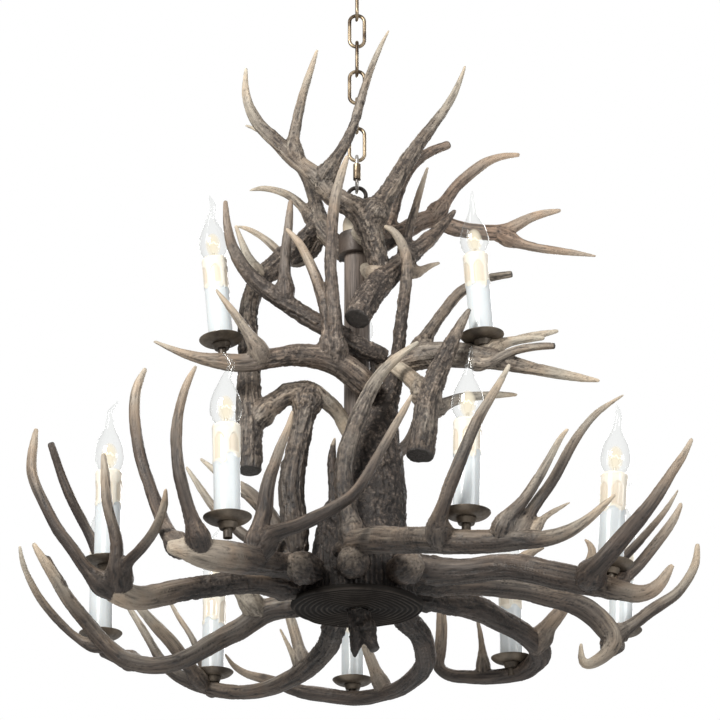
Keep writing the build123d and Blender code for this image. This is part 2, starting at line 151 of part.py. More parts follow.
ANTLER_UPPER_RIGHT = [
    [(25, -14.6, -596.6, 10.73), (50, -25.2, -589.8, 14.78), (76.2, -34, -585.1, 15.99), (101.9, -44.9, -586.2, 15.97), (125.6, -58.2, -592.9, 15.35), (148, -72.5, -601.9, 14.27), (172.1, -82.2, -612.1, 11.07), (198.3, -87.2, -620.8, 8.4), (225.3, -89.6, -628, 7.31), (252.6, -90.7, -634.1, 5.9), (280.1, -92, -639.5, 2.66), (281.5, -92.1, -639.8, 2.18), (282.4, -92.1, -640, 1.12)],
    [(148.7, -71.5, -599.9, 10.54), (169.1, -66.7, -583.3, 7.19), (193.5, -61.1, -574.4, 5.85), (219.6, -57.2, -570.8, 3.31), (221.4, -56.9, -570.6, 2.71), (222.4, -56.8, -570.4, 1.39)],
    [(144.3, -67.8, -595.8, 10.56), (170.8, -48.3, -576.6, 5.89), (203.5, -37.3, -560.9, 5.57), (239.3, -30.1, -550.1, 3.1), (240.9, -29.8, -549.6, 2.55), (241.9, -29.6, -549.3, 1.3)],
    [(134.8, -66.3, -602.8, 9.38), (157.6, -91.2, -614.1, 6.07), (192.3, -98, -601.6, 5.46), (229.7, -101.1, -599.5, 4.41)],
    [(72.4, -33.1, -585, 11.87), (81.4, -24.8, -559, 8.75), (95.4, -22.6, -534.1, 7.76), (111.7, -23, -510.5, 7.21), (132.3, -25.4, -490.9, 6.95), (158.4, -28.8, -479.8, 5.72), (186.8, -30.9, -475.6, 4.82)],
]

ANTLER_MID_RIGHT = [
    [(131.8, -103.3, -553.2, 3.03), (116.3, -97, -580.3, 8), (102.7, -89.6, -608.1, 11.35), (90, -82.5, -636.5, 13.8), (81.5, -79.3, -666.9, 14.81), (76.8, -81, -698.4, 15.69), (72.2, -84.5, -729.7, 16.96)],
    [(84.7, -77.3, -657.7, 12.76), (73.8, -61.6, -635.7, 10.87), (61, -45.8, -615, 10.15), (46.3, -29.2, -596.2, 9.5), (43.6, -26.2, -592.9, 7.79), (42.1, -24.4, -590.9, 3.99)],
    [(81.1, -77.5, -670.3, 11.58), (102.3, -60.4, -656.4, 7.78), (127.9, -50.4, -643.3, 6.35), (157.2, -43.2, -637.8, 5.29), (187.3, -37.8, -634.9, 2.83), (188.8, -37.5, -634.7, 2.32), (189.7, -37.3, -634.7, 1.19)],
]

ANTLER_MID_LONG = [
    [(20.1, -31.6, -631.8, 15.35), (0.2, -42, -614.9, 16.79), (-22.5, -51.5, -601.6, 15.42), (-48.5, -60.2, -595.8, 14.59), (-75.4, -67.6, -597.4, 13.22), (-101.7, -74.4, -604.6, 12.35), (-128, -80.8, -612.2, 11.69), (-155.3, -86.6, -613.4, 10.36), (-183, -90.2, -610.2, 7.48), (-209.8, -92.6, -602.3, 5.12), (-235.6, -95.1, -591.5, 2.33), (-236.8, -95.2, -591, 1.91), (-237.5, -95.2, -590.7, 0.98)],
    [(-110.9, -77.3, -607.4, 10.51), (-125.1, -96.4, -584.9, 7.06), (-144.1, -101.6, -557.1, 5.27), (-164.8, -105.5, -530.5, 2.57), (-165.7, -105.7, -529.4, 2.11), (-166.2, -105.8, -528.7, 1.08)],
    [(-31.8, -55.3, -598.2, 12.95), (-31.9, -64.8, -570.4, 10.61), (-36.1, -69, -541.6, 8.97), (-44.1, -71.1, -513.4, 7.89), (-53.6, -71.6, -485.6, 6.94), (-66, -71.5, -458.9, 5.63), (-83.7, -71.1, -435.5, 2.99), (-84.7, -71.1, -434.2, 2.45), (-85.3, -71.1, -433.4, 1.26)],
    [(-27.1, -53.9, -600.2, 12.95), (-25.9, -66.4, -573.7, 10.3), (-26.9, -75.6, -545.9, 9.04), (-29.1, -79.2, -516.9, 8.36), (-31.3, -80.9, -487.7, 7.84), (-30.7, -82, -458.5, 7.85), (-29.2, -82.1, -429.2, 7.72), (-26, -82.3, -400.1, 7.21), (-20.1, -81.7, -371.3, 5.99), (-11.7, -81, -343.3, 3.38), (-11.2, -80.9, -341.5, 2.77), (-10.9, -80.9, -340.4, 1.42)],
]

ANTLER_MID_DARK = [
    [(33.3, -24.2, -582.5, 10.72), (7.6, -34.3, -574.7, 12.47), (-17.2, -40.6, -561.5, 12.27), (-42.4, -44.5, -548.1, 11.89), (-67.2, -47.1, -533.6, 11.25), (-91.4, -51, -518.4, 10.8), (-114.7, -56, -502.2, 10.45), (-134.4, -64.7, -483.1, 9.32), (-148.2, -72.1, -459, 7.57), (-155.1, -77.1, -431.5, 5.61), (-157.6, -79.2, -402.9, 3.6), (-157.8, -79.3, -400.9, 2.95), (-157.9, -79.4, -399.7, 1.51)],
    [(-86.9, -49.7, -520.9, 10.12), (-86, -52.3, -488.2, 7.95), (-85.3, -53.6, -455.4, 7.23), (-82.6, -54, -422.6, 6.04), (-80.4, -54.2, -389.9, 3.63), (-80.3, -54.3, -387.9, 2.98), (-80.2, -54.3, -386.7, 1.52)],
]

ANTLER_UPPER_REAR = [
    [(13.3, 16.7, -557.5, 14.52), (11.4, 42.4, -567.8, 16.78), (9.9, 69, -575.9, 17.59), (8.7, 96, -582.1, 17.91), (7.4, 123.4, -587.1, 17.78), (5.9, 150.5, -592.9, 17.44), (4.9, 177, -601.2, 16.68), (7.4, 203.5, -609.1, 15.56), (15.4, 229.8, -611.9, 13.98), (28.3, 253.8, -607.1, 12.07), (44, 273.8, -596.1, 10.17), (60.4, 288.3, -579.1, 8.63), (72.7, 297.3, -556, 7.31), (79.4, 302.2, -529.6, 5.95), (83.4, 304, -502.1, 3.31), (83.6, 304.1, -500.3, 2.71), (83.8, 304.2, -499.3, 1.39)],
    [(7.5, 120.4, -578.5, 9.96), (22.3, 144.6, -574.2, 8.06), (35, 164.4, -557.8, 7.21), (43.1, 178.8, -534.2, 6.52), (48, 187.9, -507.3, 5.76), (50.1, 193.2, -479, 4.68), (47.8, 196.8, -450.5, 2.58), (47.7, 196.9, -449.1, 2.12), (47.6, 197, -448.2, 1.09)],
    [(8.6, 88.3, -575.4, 8.63), (-2.9, 113.1, -566, 7.59), (-6.4, 133.5, -546, 6.67), (-5.7, 148, -520.9, 5.86), (-3.2, 157.4, -493.5, 4.82), (1.3, 162.6, -465.3, 2.55), (1.5, 162.8, -463.9, 2.09), (1.6, 163, -463.1, 1.07)],
]

TRUNK = [
    [(6.9, 0.1, -877.9, 61.19), (6.9, 0.1, -849.8, 61.2), (7, 0.2, -821.8, 59.55), (7.1, -1, -793.7, 55.26), (12.5, -3, -766.4, 47.38), (18.9, -4.7, -739.1, 39.61), (21.1, -6.6, -711.2, 34.79), (21.8, -8.5, -683.2, 29.86), (26.5, -11.3, -655.7, 23.11), (37, -17.4, -630.5, 15.26), (45.1, -23.1, -604.4, 10.13), (49, -27.3, -576.9, 8.66), (51.9, -31.3, -549.2, 8.37), (54.8, -34.8, -521.5, 8.38), (58.6, -37.9, -493.9, 8.2), (60.2, -41.1, -466.1, 7.6), (53.1, -44.5, -439.3, 6.65), (33.8, -48.3, -420.5, 3.38), (32.5, -48.6, -419.3, 2.77), (31.7, -48.7, -418.5, 1.42)],
    [(-17.3, -33.5, -799.3, 10.39), (-25.4, -38.5, -763.5, 7.73), (-28.9, -38, -726.7, 6.51), (-26.1, -38.3, -689.9, 2.57), (-26, -38.3, -688.5, 2.11), (-25.9, -38.3, -687.7, 1.08)],
    [(-5.7, -37.5, -846.6, 13.75), (-8.2, -44.8, -848.4, 14.19), (-10.5, -52.2, -850.1, 14.19), (-12.5, -59.8, -851.4, 10.23), (-13.9, -65.1, -852.4, 8.39), (-14.7, -68.3, -853, 4.3)],
]

FINIAL = [
    [(2.3, 0, -888.7, 14.99), (2, -0.9, -907.1, 12.6), (-0.7, -2.8, -925.2, 8.59), (-2.3, -4, -943.5, 3.43), (-2.4, -4.1, -945.3, 2.81), (-2.5, -4.2, -946.5, 1.44)],
    [(4.6, 0, -897.1, 10.36), (9.6, -3.3, -910.6, 9.12), (15, -6.1, -924, 7.98), (20.6, -8.1, -937.6, 6.85)],
]

LIGHTS = [
    ("front_left", (-136.9, -271, -867.9), (-0.034, 0, 0.999), (7, -1.5)),
    ("front_right", (115.4, -279, -865.4), (0.028, 0, 1), (2, 3.2)),
    ("left", (-275.9, -141, -873.4), (-0.015, 0, 1), (-1, 7.5)),
    ("right", (280, -137, -874.7), (0.083, 0, 0.997), (1.5, -0.5)),
    ("left_rear", (-306.9, 118, -879.8), (-0.018, 0, 1), (3, -6)),
    ("right_rear", (316.6, 126, -872.6), (0.054, 0, 0.999), (2, 10)),
    ("rear_left", (-181.4, 286, -880.2), (0, 0, 1), (-4, 3)),
    ("rear_right", (194.4, 275, -865.1), (0, 0, 1), (5, -3)),
    ("rear", (-5.5, 341, -875.3), (0, 0, 1), (-5, 2)),
    ("upper_left", (-160.5, -57.4, -571.5), (-0.099, 0, 0.995), (4.5, 0.6)),
    ("upper_right", (146.8, -73.5, -574), (-0.055, 0, 0.998), (1, 2.2)),
    ("upper_rear", (5.1, 190.3, -577.2), (0, 0, 1), (-3, 4)),
]


def unit(v):
    return v * (1.0 / v.length)


def rings_of(table):
    # closed round faces square to each branch, with one shared start point
    sets = []
    for branch in table:
        pts = [Vector(x, y, z) for x, y, z, _ in branch]
        rings, ref = [], None
        for i, (x, y, z, r) in enumerate(branch):
            a = pts[max(i - 1, 0)]
            b = pts[min(i + 1, len(pts) - 1)]
            t = unit(b - a)
            if ref is None:
                ref = Vector(0, 0, 1) if abs(t.Z) < 0.8 else Vector(1, 0, 0)
            ref = unit(ref - t * ref.dot(t))
            plane = Plane(origin=pts[i], x_dir=ref, z_dir=t)
            rings.append(Face(Wire([Edge.make_circle(r, plane)])))
        sets.append(rings)
    return sets


def light_plane(name, h=0.0):
    for n, base, axis, _ in LIGHTS:
        if n == name:
            z = unit(Vector(*axis))
            return Plane(origin=Vector(*base) + z * h, x_dir=unit(Vector(1, 0, 0) - z * z.X), z_dir=z)


def link_path(length, width, wire):
    # half of the centre line of an oval link, in its own plane
    return width / 2 - wire / 2, (length - width) / 2


# ---------------------------------------------------------------- ceiling side
with BuildPart() as ceiling_bracket:
    with BuildSketch(Plane.XZ.offset(-BRACKET_W / 2)):
        with BuildLine():
            Polyline((-BRACKET_L / 2, 0), (-29, 0), (-29, -BRACKET_DROP + BRACKET_T), (29, -BRACKET_DROP + BRACKET_T),
                     (29, 0), (BRACKET_L / 2, 0), (BRACKET_L / 2, -BRACKET_T), (31, -BRACKET_T), (31, -BRACKET_DROP),
                     (-31, -BRACKET_DROP), (-31, -BRACKET_T), (-BRACKET_L / 2, -BRACKET_T), close=True)
        make_face()
    extrude(amount=BRACKET_W)
    with BuildSketch(Plane.XY.offset(-BRACKET_DROP - 1)):
        with Locations((-SCREW_SPACING / 2, 0), (SCREW_SPACING / 2, 0)):
            Circle(SCREW_HOLE_R)
        with Locations((0, 0)):
            Circle(NIPPLE_TOP_R)
    extrude(amount=BRACKET_DROP + 2, mode=Mode.SUBTRACT)
ceiling_bracket.part.label = "ceiling_bracket"
export_step(ceiling_bracket.part, "parts/ceiling_bracket.step")

with BuildPart() as canopy_nut:
    with BuildSketch(Plane.XY.offset(-BRACKET_DROP + BRACKET_T)):
        RegularPolygon(8.6, 6)
        Circle(NIPPLE_TOP_R, mode=Mode.SUBTRACT)
    extrude(amount=5)
canopy_nut.part.label = "canopy_nut"
export_step(canopy_nut.part, "parts/canopy_nut.step")

with BuildPart() as canopy_nipple:
    with BuildSketch(Plane.XY.offset(-38)):
        Circle(NIPPLE_TOP_R)
        Circle(3.4, mode=Mode.SUBTRACT)
    extrude(amount=35)
canopy_nipple.part.label = "canopy_nipple"
export_step(canopy_nipple.part, "parts/canopy_nipple.step")

with BuildPart() as canopy:
    with BuildSketch(Plane.XZ):
        with BuildLine():
            Polyline((CANOPY_R, 0), (CANOPY_R, -6))
            ThreePointArc((CANOPY_R, -6), (46, -22), (20, -CANOPY_H))
            Polyline((20, -CANOPY_H), (NIPPLE_TOP_R, -CANOPY_H), (NIPPLE_TOP_R, -CANOPY_H + CANOPY_T), (20, -CANOPY_H + CANOPY_T))
            ThreePointArc((20, -CANOPY_H + CANOPY_T), (45.3, -21), (CANOPY_R - CANOPY_T, -6))
            Polyline((CANOPY_R - CANOPY_T, -6), (CANOPY_R - CANOPY_T, 0), (CANOPY_R, 0))
        make_face()
    revolve(axis=Axis.Z)
canopy.part.label = "canopy"
export_step(canopy.part, "parts/canopy.step")

with BuildPart() as canopy_loop:
    with BuildSketch(Plane.YZ.offset(0)):
        with Locations((0, LOOP_Z + LOOP_R)):
            Circle(LOOP_WIRE / 2)
    revolve(axis=Axis((0, 0, LOOP_Z), (0, 1, 0)))
    with BuildSketch(Plane.XY.offset(-40)):
        Circle(9)
    extrude(amount=10)
    with BuildSketch(Plane.XY.offset(-38)):
        Circle(NIPPLE_TOP_R)
    extrude(amount=8, mode=Mode.SUBTRACT)
canopy_loop.part.label = "canopy_loop"
export_step(canopy_loop.part, "parts/canopy_loop.step")

# ---------------------------------------------------------------- chain
A, S = link_path(LINK_L, LINK_W, LINK_WIRE)
for i in range(6):
    zc = LINK_TOP_Z - i * LINK_PITCH - LINK_L / 2
    side = Plane.YZ if i % 2 == 0 else Plane.XZ
    with BuildPart() as chain_link:
        with BuildLine(side):
            Line((-A, zc - S), (-A, zc + S))
            RadiusArc((-A, zc + S), (A, zc + S), A)
            Line((A, zc + S), (A, zc - S))
            RadiusArc((A, zc - S), (-A, zc - S), A)
        with BuildSketch(Plane(origin=side.from_local_coords(Vector(-A, zc - S, 0)), z_dir=(0, 0, 1))):
            Circle(LINK_WIRE / 2)
        sweep()
    chain_link.part.label = "chain_link_%d" % i
    export_step(chain_link.part, "parts/chain_link_%d.step" % i)

QA, QS = link_path(QUICK_L, LINK_W, LINK_WIRE)
QC = QUICK_BOTTOM_Z + QUICK_L / 2
with BuildPart() as quick_link:
    with BuildLine(Plane.YZ):
        Line((-QA, SLEEVE_Z - 5), (-QA, QC - QS))
        RadiusArc((-QA, QC - QS), (QA, QC - QS), -QA)
        Line((QA, QC - QS), (QA, QC + QS))
        RadiusArc((QA, QC + QS), (-QA, QC + QS), -QA)
        Line((-QA, QC + QS), (-QA, SLEEVE_Z + 5))
    with BuildSketch(Plane(origin=(0, -QA, SLEEVE_Z - 5), z_dir=(0, 0, -1))):
        Circle(LINK_WIRE / 2)
    sweep()
quick_link.part.label = "quick_link"
export_step(quick_link.part, "parts/quick_link.step")

with BuildPart() as quick_link_sleeve:
    with BuildSketch(Plane((0, -QA, SLEEVE_Z - SLEEVE_L / 2))):
        Circle(SLEEVE_R)
        Circle(LINK_WIRE / 2 + 0.06, mode=Mode.SUBTRACT)
    extrude(amount=SLEEVE_L)
quick_link_sleeve.part.label = "quick_link_sleeve"
export_step(quick_link_sleeve.part, "parts/quick_link_sleeve.step")

# ---------------------------------------------------------------- column and hub
with BuildPart() as top_eye:
    with BuildSketch(Plane.YZ):
        with Locations((0, EYE_Z + EYE_R)):
            Circle(EYE_WIRE / 2)
    revolve(axis=Axis((0, 0, EYE_Z), (0, 1, 0)))
    with BuildSketch(Plane.XY.offset(CUP_TOP)):
        Circle(7.5)
    extrude(amount=EYE_Z - EYE_R - CUP_TOP + 1.2)
    with BuildSketch(Plane.XY.offset(CUP_TOP)):
        Circle(ROD_R)
    extrude(amount=10, mode=Mode.SUBTRACT)
top_eye.part.label = "top_eye"
export_step(top_eye.part, "parts/top_eye.step")

with BuildPart() as top_cup:
    with BuildSketch(Plane.XZ):
        with BuildLine():
            Polyline((ROD_R, COLLAR_TOP), (17.5, COLLAR_TOP), (17.5, COLLAR_TOP + 12))
            ThreePointArc((17.5, COLLAR_TOP + 12), (15.2, COLLAR_TOP + 23), (9, CUP_TOP))
            Polyline((9, CUP_TOP), (ROD_R, CUP_TOP), (ROD_R, COLLAR_TOP))
        make_face()
    revolve(axis=Axis.Z)
top_cup.part.label = "top_cup"
export_step(top_cup.part, "parts/top_cup.step")

with BuildPart() as collar:
    with BuildSketch(Plane.XY.offset(COLLAR_BOTTOM)):
        Circle(COLLAR_R)
        Circle(COLUMN_R, mode=Mode.SUBTRACT)
    extrude(amount=COLLAR_TOP - COLLAR_BOTTOM)
    fillet(collar.edges().filter_by(GeomType.CIRCLE).filter_by(lambda e: e.radius > COLUMN_R + 1), 1.5)
collar.part.label = "collar"
export_step(collar.part, "parts/collar.step")

with BuildPart() as column:
    with BuildSketch(Plane.XY.offset(COLUMN_BOTTOM)):
        Circle(COLUMN_R)
        Circle(COLUMN_R - COLUMN_WALL, mode=Mode.SUBTRACT)
    extrude(amount=COLUMN_TOP - COLUMN_BOTTOM)
column.part.label = "column"
export_step(column.part, "parts/column.step")

with BuildPart() as centre_rod:
    with BuildSketch(Plane.XY.offset(-901)):
        Circle(ROD_R)
    extrude(amount=901 + CUP_TOP + 10)
centre_rod.part.label = "centre_rod"
export_step(centre_rod.part, "parts/centre_rod.step")

with BuildPart() as trunk:
    for rings in rings_of(TRUNK):
        loft(sections=rings, ruled=True)
    with BuildSketch(Plane.XY.offset(COLUMN_BOTTOM)):
        Circle(COLUMN_R)
    extrude(amount=COLUMN_TOP - COLUMN_BOTTOM, mode=Mode.SUBTRACT)
    with BuildSketch(Plane.XY.offset(DISC_TOP - 30)):
        Circle(ROD_R)
    extrude(amount=COLUMN_BOTTOM - DISC_TOP + 40, mode=Mode.SUBTRACT)
    with BuildSketch(Plane.XY.offset(DISC_TOP)):
        Circle(120)
    extrude(amount=-60, mode=Mode.SUBTRACT)
trunk.part.label = "trunk"
export_step(trunk.part, "parts/trunk.step")

with BuildPart() as bottom_disc:
    with BuildSketch(Plane.XZ):
        with BuildLine():
            Polyline((ROD_R, DISC_TOP), (DISC_R - 1, DISC_TOP), (DISC_R, DISC_TOP - 2), (DISC_R, DISC_BOTTOM + 2.5),
                     (DISC_R - 2.5, DISC_BOTTOM), (ROD_R, DISC_BOTTOM), close=True)
        make_face()
    revolve(axis=Axis.Z)
bottom_disc.part.label = "bottom_disc"
export_step(bottom_disc.part, "parts/bottom_disc.step")

with BuildPart() as bottom_nut:
    with BuildSketch(Plane.XY.offset(NUT_BOTTOM)):
        RegularPolygon(9.8, 6)
        Circle(ROD_R, mode=Mode.SUBTRACT)
    extrude(amount=DISC_BOTTOM - NUT_BOTTOM)
bottom_nut.part.label = "bottom_nut"
export_step(bottom_nut.part, "parts/bottom_nut.step")

with BuildPart() as finial:
    for rings in rings_of(FINIAL):
        loft(sections=rings, ruled=True)
    with BuildSketch(Plane.XY.offset(NUT_BOTTOM)):
        Circle(40)
    extrude(amount=30, mode=Mode.SUBTRACT)
    with BuildSketch(Plane.XY.offset(NUT_BOTTOM)):
        Circle(ROD_R)
    extrude(amount=-8, mode=Mode.SUBTRACT)
finial.part.label = "finial"
export_step(finial.part, "parts/finial.step")

# ---------------------------------------------------------------- antlers
with BuildPart() as antler_front_left:
    for rings in rings_of(ANTLER_FRONT_LEFT):
        loft(sections=rings, ruled=True)
    with Locations(light_plane("front_left", SEAT_H).location):
        Cylinder(SEAT_R, SEAT_CLEAR, align=(Align.CENTER, Align.CENTER, Align.MIN), mode=Mode.SUBTRACT)
    with Locations(light_plane("front_left", NIPPLE_BOTTOM).location):
        Cylinder(NIPPLE_R, SEAT_CLEAR, align=(Align.CENTER, Align.CENTER, Align.MIN), mode=Mode.SUBTRACT)
antler_front_left.part.label = "antler_front_left"
export_step(antler_front_left.part, "parts/antler_front_left.step")

with BuildPart() as antler_front_right:
    for rings in rings_of(ANTLER_FRONT_RIGHT):
        loft(sections=rings, ruled=True)
    with Locations(light_plane("front_right", SEAT_H).location):
        Cylinder(SEAT_R, SEAT_CLEAR, align=(Align.CENTER, Align.CENTER, Align.MIN), mode=Mode.SUBTRACT)
    with Locations(light_plane("front_right", NIPPLE_BOTTOM).location):
        Cylinder(NIPPLE_R, SEAT_CLEAR, align=(Align.CENTER, Align.CENTER, Align.MIN), mode=Mode.SUBTRACT)
antler_front_right.part.label = "antler_front_right"
export_step(antler_front_right.part, "parts/antler_front_right.step")

with BuildPart() as antler_left:
    for rings in rings_of(ANTLER_LEFT):
        loft(sections=rings, ruled=True)
    with Locations(light_plane("left", SEAT_H).location):
        Cylinder(SEAT_R, SEAT_CLEAR, align=(Align.CENTER, Align.CENTER, Align.MIN), mode=Mode.SUBTRACT)
    with Locations(light_plane("left", NIPPLE_BOTTOM).location):
        Cylinder(NIPPLE_R, SEAT_CLEAR, align=(Align.CENTER, Align.CENTER, Align.MIN), mode=Mode.SUBTRACT)
antler_left.part.label = "antler_left"
export_step(antler_left.part, "parts/antler_left.step")

with BuildPart() as antler_left_rear:
    for rings in rings_of(ANTLER_LEFT_REAR):
        loft(sections=rings, ruled=True)
    with Locations(light_plane("left_rear", SEAT_H).location):
        Cylinder(SEAT_R, SEAT_CLEAR, align=(Align.CENTER, Align.CENTER, Align.MIN), mode=Mode.SUBTRACT)
    with Locations(light_plane("left_rear", NIPPLE_BOTTOM).location):
        Cylinder(NIPPLE_R, SEAT_CLEAR, align=(Align.CENTER, Align.CENTER, Align.MIN), mode=Mode.SUBTRACT)
antler_left_rear.part.label = "antler_left_rear"
export_step(antler_left_rear.part, "parts/antler_left_rear.step")

with BuildPart() as antler_rear_left:
    for rings in rings_of(ANTLER_REAR_LEFT):
        loft(sections=rings, ruled=True)
    with Locations(light_plane("rear_left", SEAT_H).location):
        Cylinder(SEAT_R, SEAT_CLEAR, align=(Align.CENTER, Align.CENTER, Align.MIN), mode=Mode.SUBTRACT)
    with Locations(light_plane("rear_left", NIPPLE_BOTTOM).location):
        Cylinder(NIPPLE_R, SEAT_CLEAR, align=(Align.CENTER, Align.CENTER, Align.MIN), mode=Mode.SUBTRACT)
antler_rear_left.part.label = "antler_rear_left"
export_step(antler_rear_left.part, "parts/antler_rear_left.step")

with BuildPart() as antler_rear:
    for rings in rings_of(ANTLER_REAR):
        loft(sections=rings, ruled=True)
    with Locations(light_plane("rear", SEAT_H).location):
        Cylinder(SEAT_R, SEAT_CLEAR, align=(Align.CENTER, Align.CENTER, Align.MIN), mode=Mode.SUBTRACT)
    with Locations(light_plane("rear", NIPPLE_BOTTOM).location):
        Cylinder(NIPPLE_R, SEAT_CLEAR, align=(Align.CENTER, Align.CENTER, Align.MIN), mode=Mode.SUBTRACT)
antler_rear.part.label = "antler_rear"
export_step(antler_rear.part, "parts/antler_rear.step")

with BuildPart() as antler_rear_right:
    for rings in rings_of(ANTLER_REAR_RIGHT):
        loft(sections=rings, ruled=True)
    with Locations(light_plane("rear_right", SEAT_H).location):
        Cylinder(SEAT_R, SEAT_CLEAR, align=(Align.CENTER, Align.CENTER, Align.MIN), mode=Mode.SUBTRACT)
    with Locations(light_plane("rear_right", NIPPLE_BOTTOM).location):
        Cylinder(NIPPLE_R, SEAT_CLEAR, align=(Align.CENTER, Align.CENTER, Align.MIN), mode=Mode.SUBTRACT)
antler_rear_right.part.label = "antler_rear_right"
export_step(antler_rear_right.part, "parts/antler_rear_right.step")

with BuildPart() as antler_right_rear:
    for rings in rings_of(ANTLER_RIGHT_REAR):
        loft(sections=rings, ruled=True)
    with Locations(light_plane("right_rear", SEAT_H).location):
        Cylinder(SEAT_R, SEAT_CLEAR, align=(Align.CENTER, Align.CENTER, Align.MIN), mode=Mode.SUBTRACT)
    with Locations(light_plane("right_rear", NIPPLE_BOTTOM).location):
        Cylinder(NIPPLE_R, SEAT_CLEAR, align=(Align.CENTER, Align.CENTER, Align.MIN), mode=Mode.SUBTRACT)
antler_right_rear.part.label = "antler_right_rear"
export_step(antler_right_rear.part, "parts/antler_right_rear.step")

with BuildPart() as antler_right:
    for rings in rings_of(ANTLER_RIGHT):
        loft(sections=rings, ruled=True)
    with Locations(light_plane("right", SEAT_H).location):
        Cylinder(SEAT_R, SEAT_CLEAR, align=(Align.CENTER, Align.CENTER, Align.MIN), mode=Mode.SUBTRACT)
    with Locations(light_plane("right", NIPPLE_BOTTOM).location):
        Cylinder(NIPPLE_R, SEAT_CLEAR, align=(Align.CENTER, Align.CENTER, Align.MIN), mode=Mode.SUBTRACT)
antler_right.part.label = "antler_right"
export_step(antler_right.part, "parts/antler_right.step")

with BuildPart() as antler_mid_left:
    for rings in rings_of(ANTLER_MID_LEFT):
        loft(sections=rings, ruled=True)
    with Locations((0, 0, COLUMN_BOTTOM)):
        Cylinder(COLUMN_R, CUP_TOP - COLUMN_BOTTOM, align=(Align.CENTER, Align.CENTER, Align.MIN), mode=Mode.SUBTRACT)
antler_mid_left.part.label = "antler_mid_left"
export_step(antler_mid_left.part, "parts/antler_mid_left.step")

with BuildPart() as antler_upper_left_rear:
    for rings in rings_of(ANTLER_UPPER_LEFT_REAR):
        loft(sections=rings, ruled=True)
    with Locations((0, 0, COLUMN_BOTTOM)):
        Cylinder(COLUMN_R, CUP_TOP - COLUMN_BOTTOM, align=(Align.CENTER, Align.CENTER, Align.MIN), mode=Mode.SUBTRACT)
antler_upper_left_rear.part.label = "antler_upper_left_rear"
export_step(antler_upper_left_rear.part, "parts/antler_upper_left_rear.step")

with BuildPart() as antler_crown:
    for rings in rings_of(ANTLER_CROWN):
        loft(sections=rings, ruled=True)
    with Locations((0, 0, COLUMN_BOTTOM)):
        Cylinder(COLUMN_R, CUP_TOP - COLUMN_BOTTOM, align=(Align.CENTER, Align.CENTER, Align.MIN), mode=Mode.SUBTRACT)
    with Locations((0, 0, COLLAR_BOTTOM)):
        Cylinder(COLLAR_R, COLLAR_TOP - COLLAR_BOTTOM + 20, align=(Align.CENTER, Align.CENTER, Align.MIN), mode=Mode.SUBTRACT)
antler_crown.part.label = "antler_crown"
export_step(antler_crown.part, "parts/antler_crown.step")

with BuildPart() as antler_upper_stub:
    for rings in rings_of(ANTLER_UPPER_STUB):
        loft(sections=rings, ruled=True)
    with Locations((0, 0, COLUMN_BOTTOM)):
        Cylinder(COLUMN_R, CUP_TOP - COLUMN_BOTTOM, align=(Align.CENTER, Align.CENTER, Align.MIN), mode=Mode.SUBTRACT)
antler_upper_stub.part.label = "antler_upper_stub"
export_step(antler_upper_stub.part, "parts/antler_upper_stub.step")

with BuildPart() as antler_upper_right_rear:
    for rings in rings_of(ANTLER_UPPER_RIGHT_REAR):
        loft(sections=rings, ruled=True)
    with Locations((0, 0, COLUMN_BOTTOM)):
        Cylinder(COLUMN_R, CUP_TOP - COLUMN_BOTTOM, align=(Align.CENTER, Align.CENTER, Align.MIN), mode=Mode.SUBTRACT)
antler_upper_right_rear.part.label = "antler_upper_right_rear"
export_step(antler_upper_right_rear.part, "parts/antler_upper_right_rear.step")

with BuildPart() as antler_upper_right:
    for rings in rings_of(ANTLER_UPPER_RIGHT):
        loft(sections=rings, ruled=True)
    with Locations(light_plane("upper_right", SEAT_H).location):
        Cylinder(SEAT_R, SEAT_CLEAR, align=(Align.CENTER, Align.CENTER, Align.MIN), mode=Mode.SUBTRACT)
    with Locations(light_plane("upper_right", NIPPLE_BOTTOM).location):
        Cylinder(NIPPLE_R, SEAT_CLEAR, align=(Align.CENTER, Align.CENTER, Align.MIN), mode=Mode.SUBTRACT)
antler_upper_right.part.label = "antler_upper_right"
export_step(antler_upper_right.part, "parts/antler_upper_right.step")

with BuildPart() as antler_mid_right:
    for rings in rings_of(ANTLER_MID_RIGHT):
        loft(sections=rings, ruled=True)
antler_mid_right.part.label = "antler_mid_right"
export_step(antler_mid_right.part, "parts/antler_mid_right.step")

with BuildPart() as antler_mid_long:
    for rings in rings_of(ANTLER_MID_LONG):
        loft(sections=rings, ruled=True)
    with Locations(light_plane("upper_left", SEAT_H).location):
        Cylinder(SEAT_R, SEAT_CLEAR, align=(Align.CENTER, Align.CENTER, Align.MIN), mode=Mode.SUBTRACT)
    with Locations(light_plane("upper_left", NIPPLE_BOTTOM).location):
        Cylinder(NIPPLE_R, SEAT_CLEAR, align=(Align.CENTER, Align.CENTER, Align.MIN), mode=Mode.SUBTRACT)
antler_mid_long.part.label = "antler_mid_long"
export_step(antler_mid_long.part, "parts/antler_mid_long.step")

with BuildPart() as antler_mid_dark:
    for rings in rings_of(ANTLER_MID_DARK):
        loft(sections=rings, ruled=True)
antler_mid_dark.part.label = "antler_mid_dark"
export_step(antler_mid_dark.part, "parts/antler_mid_dark.step")

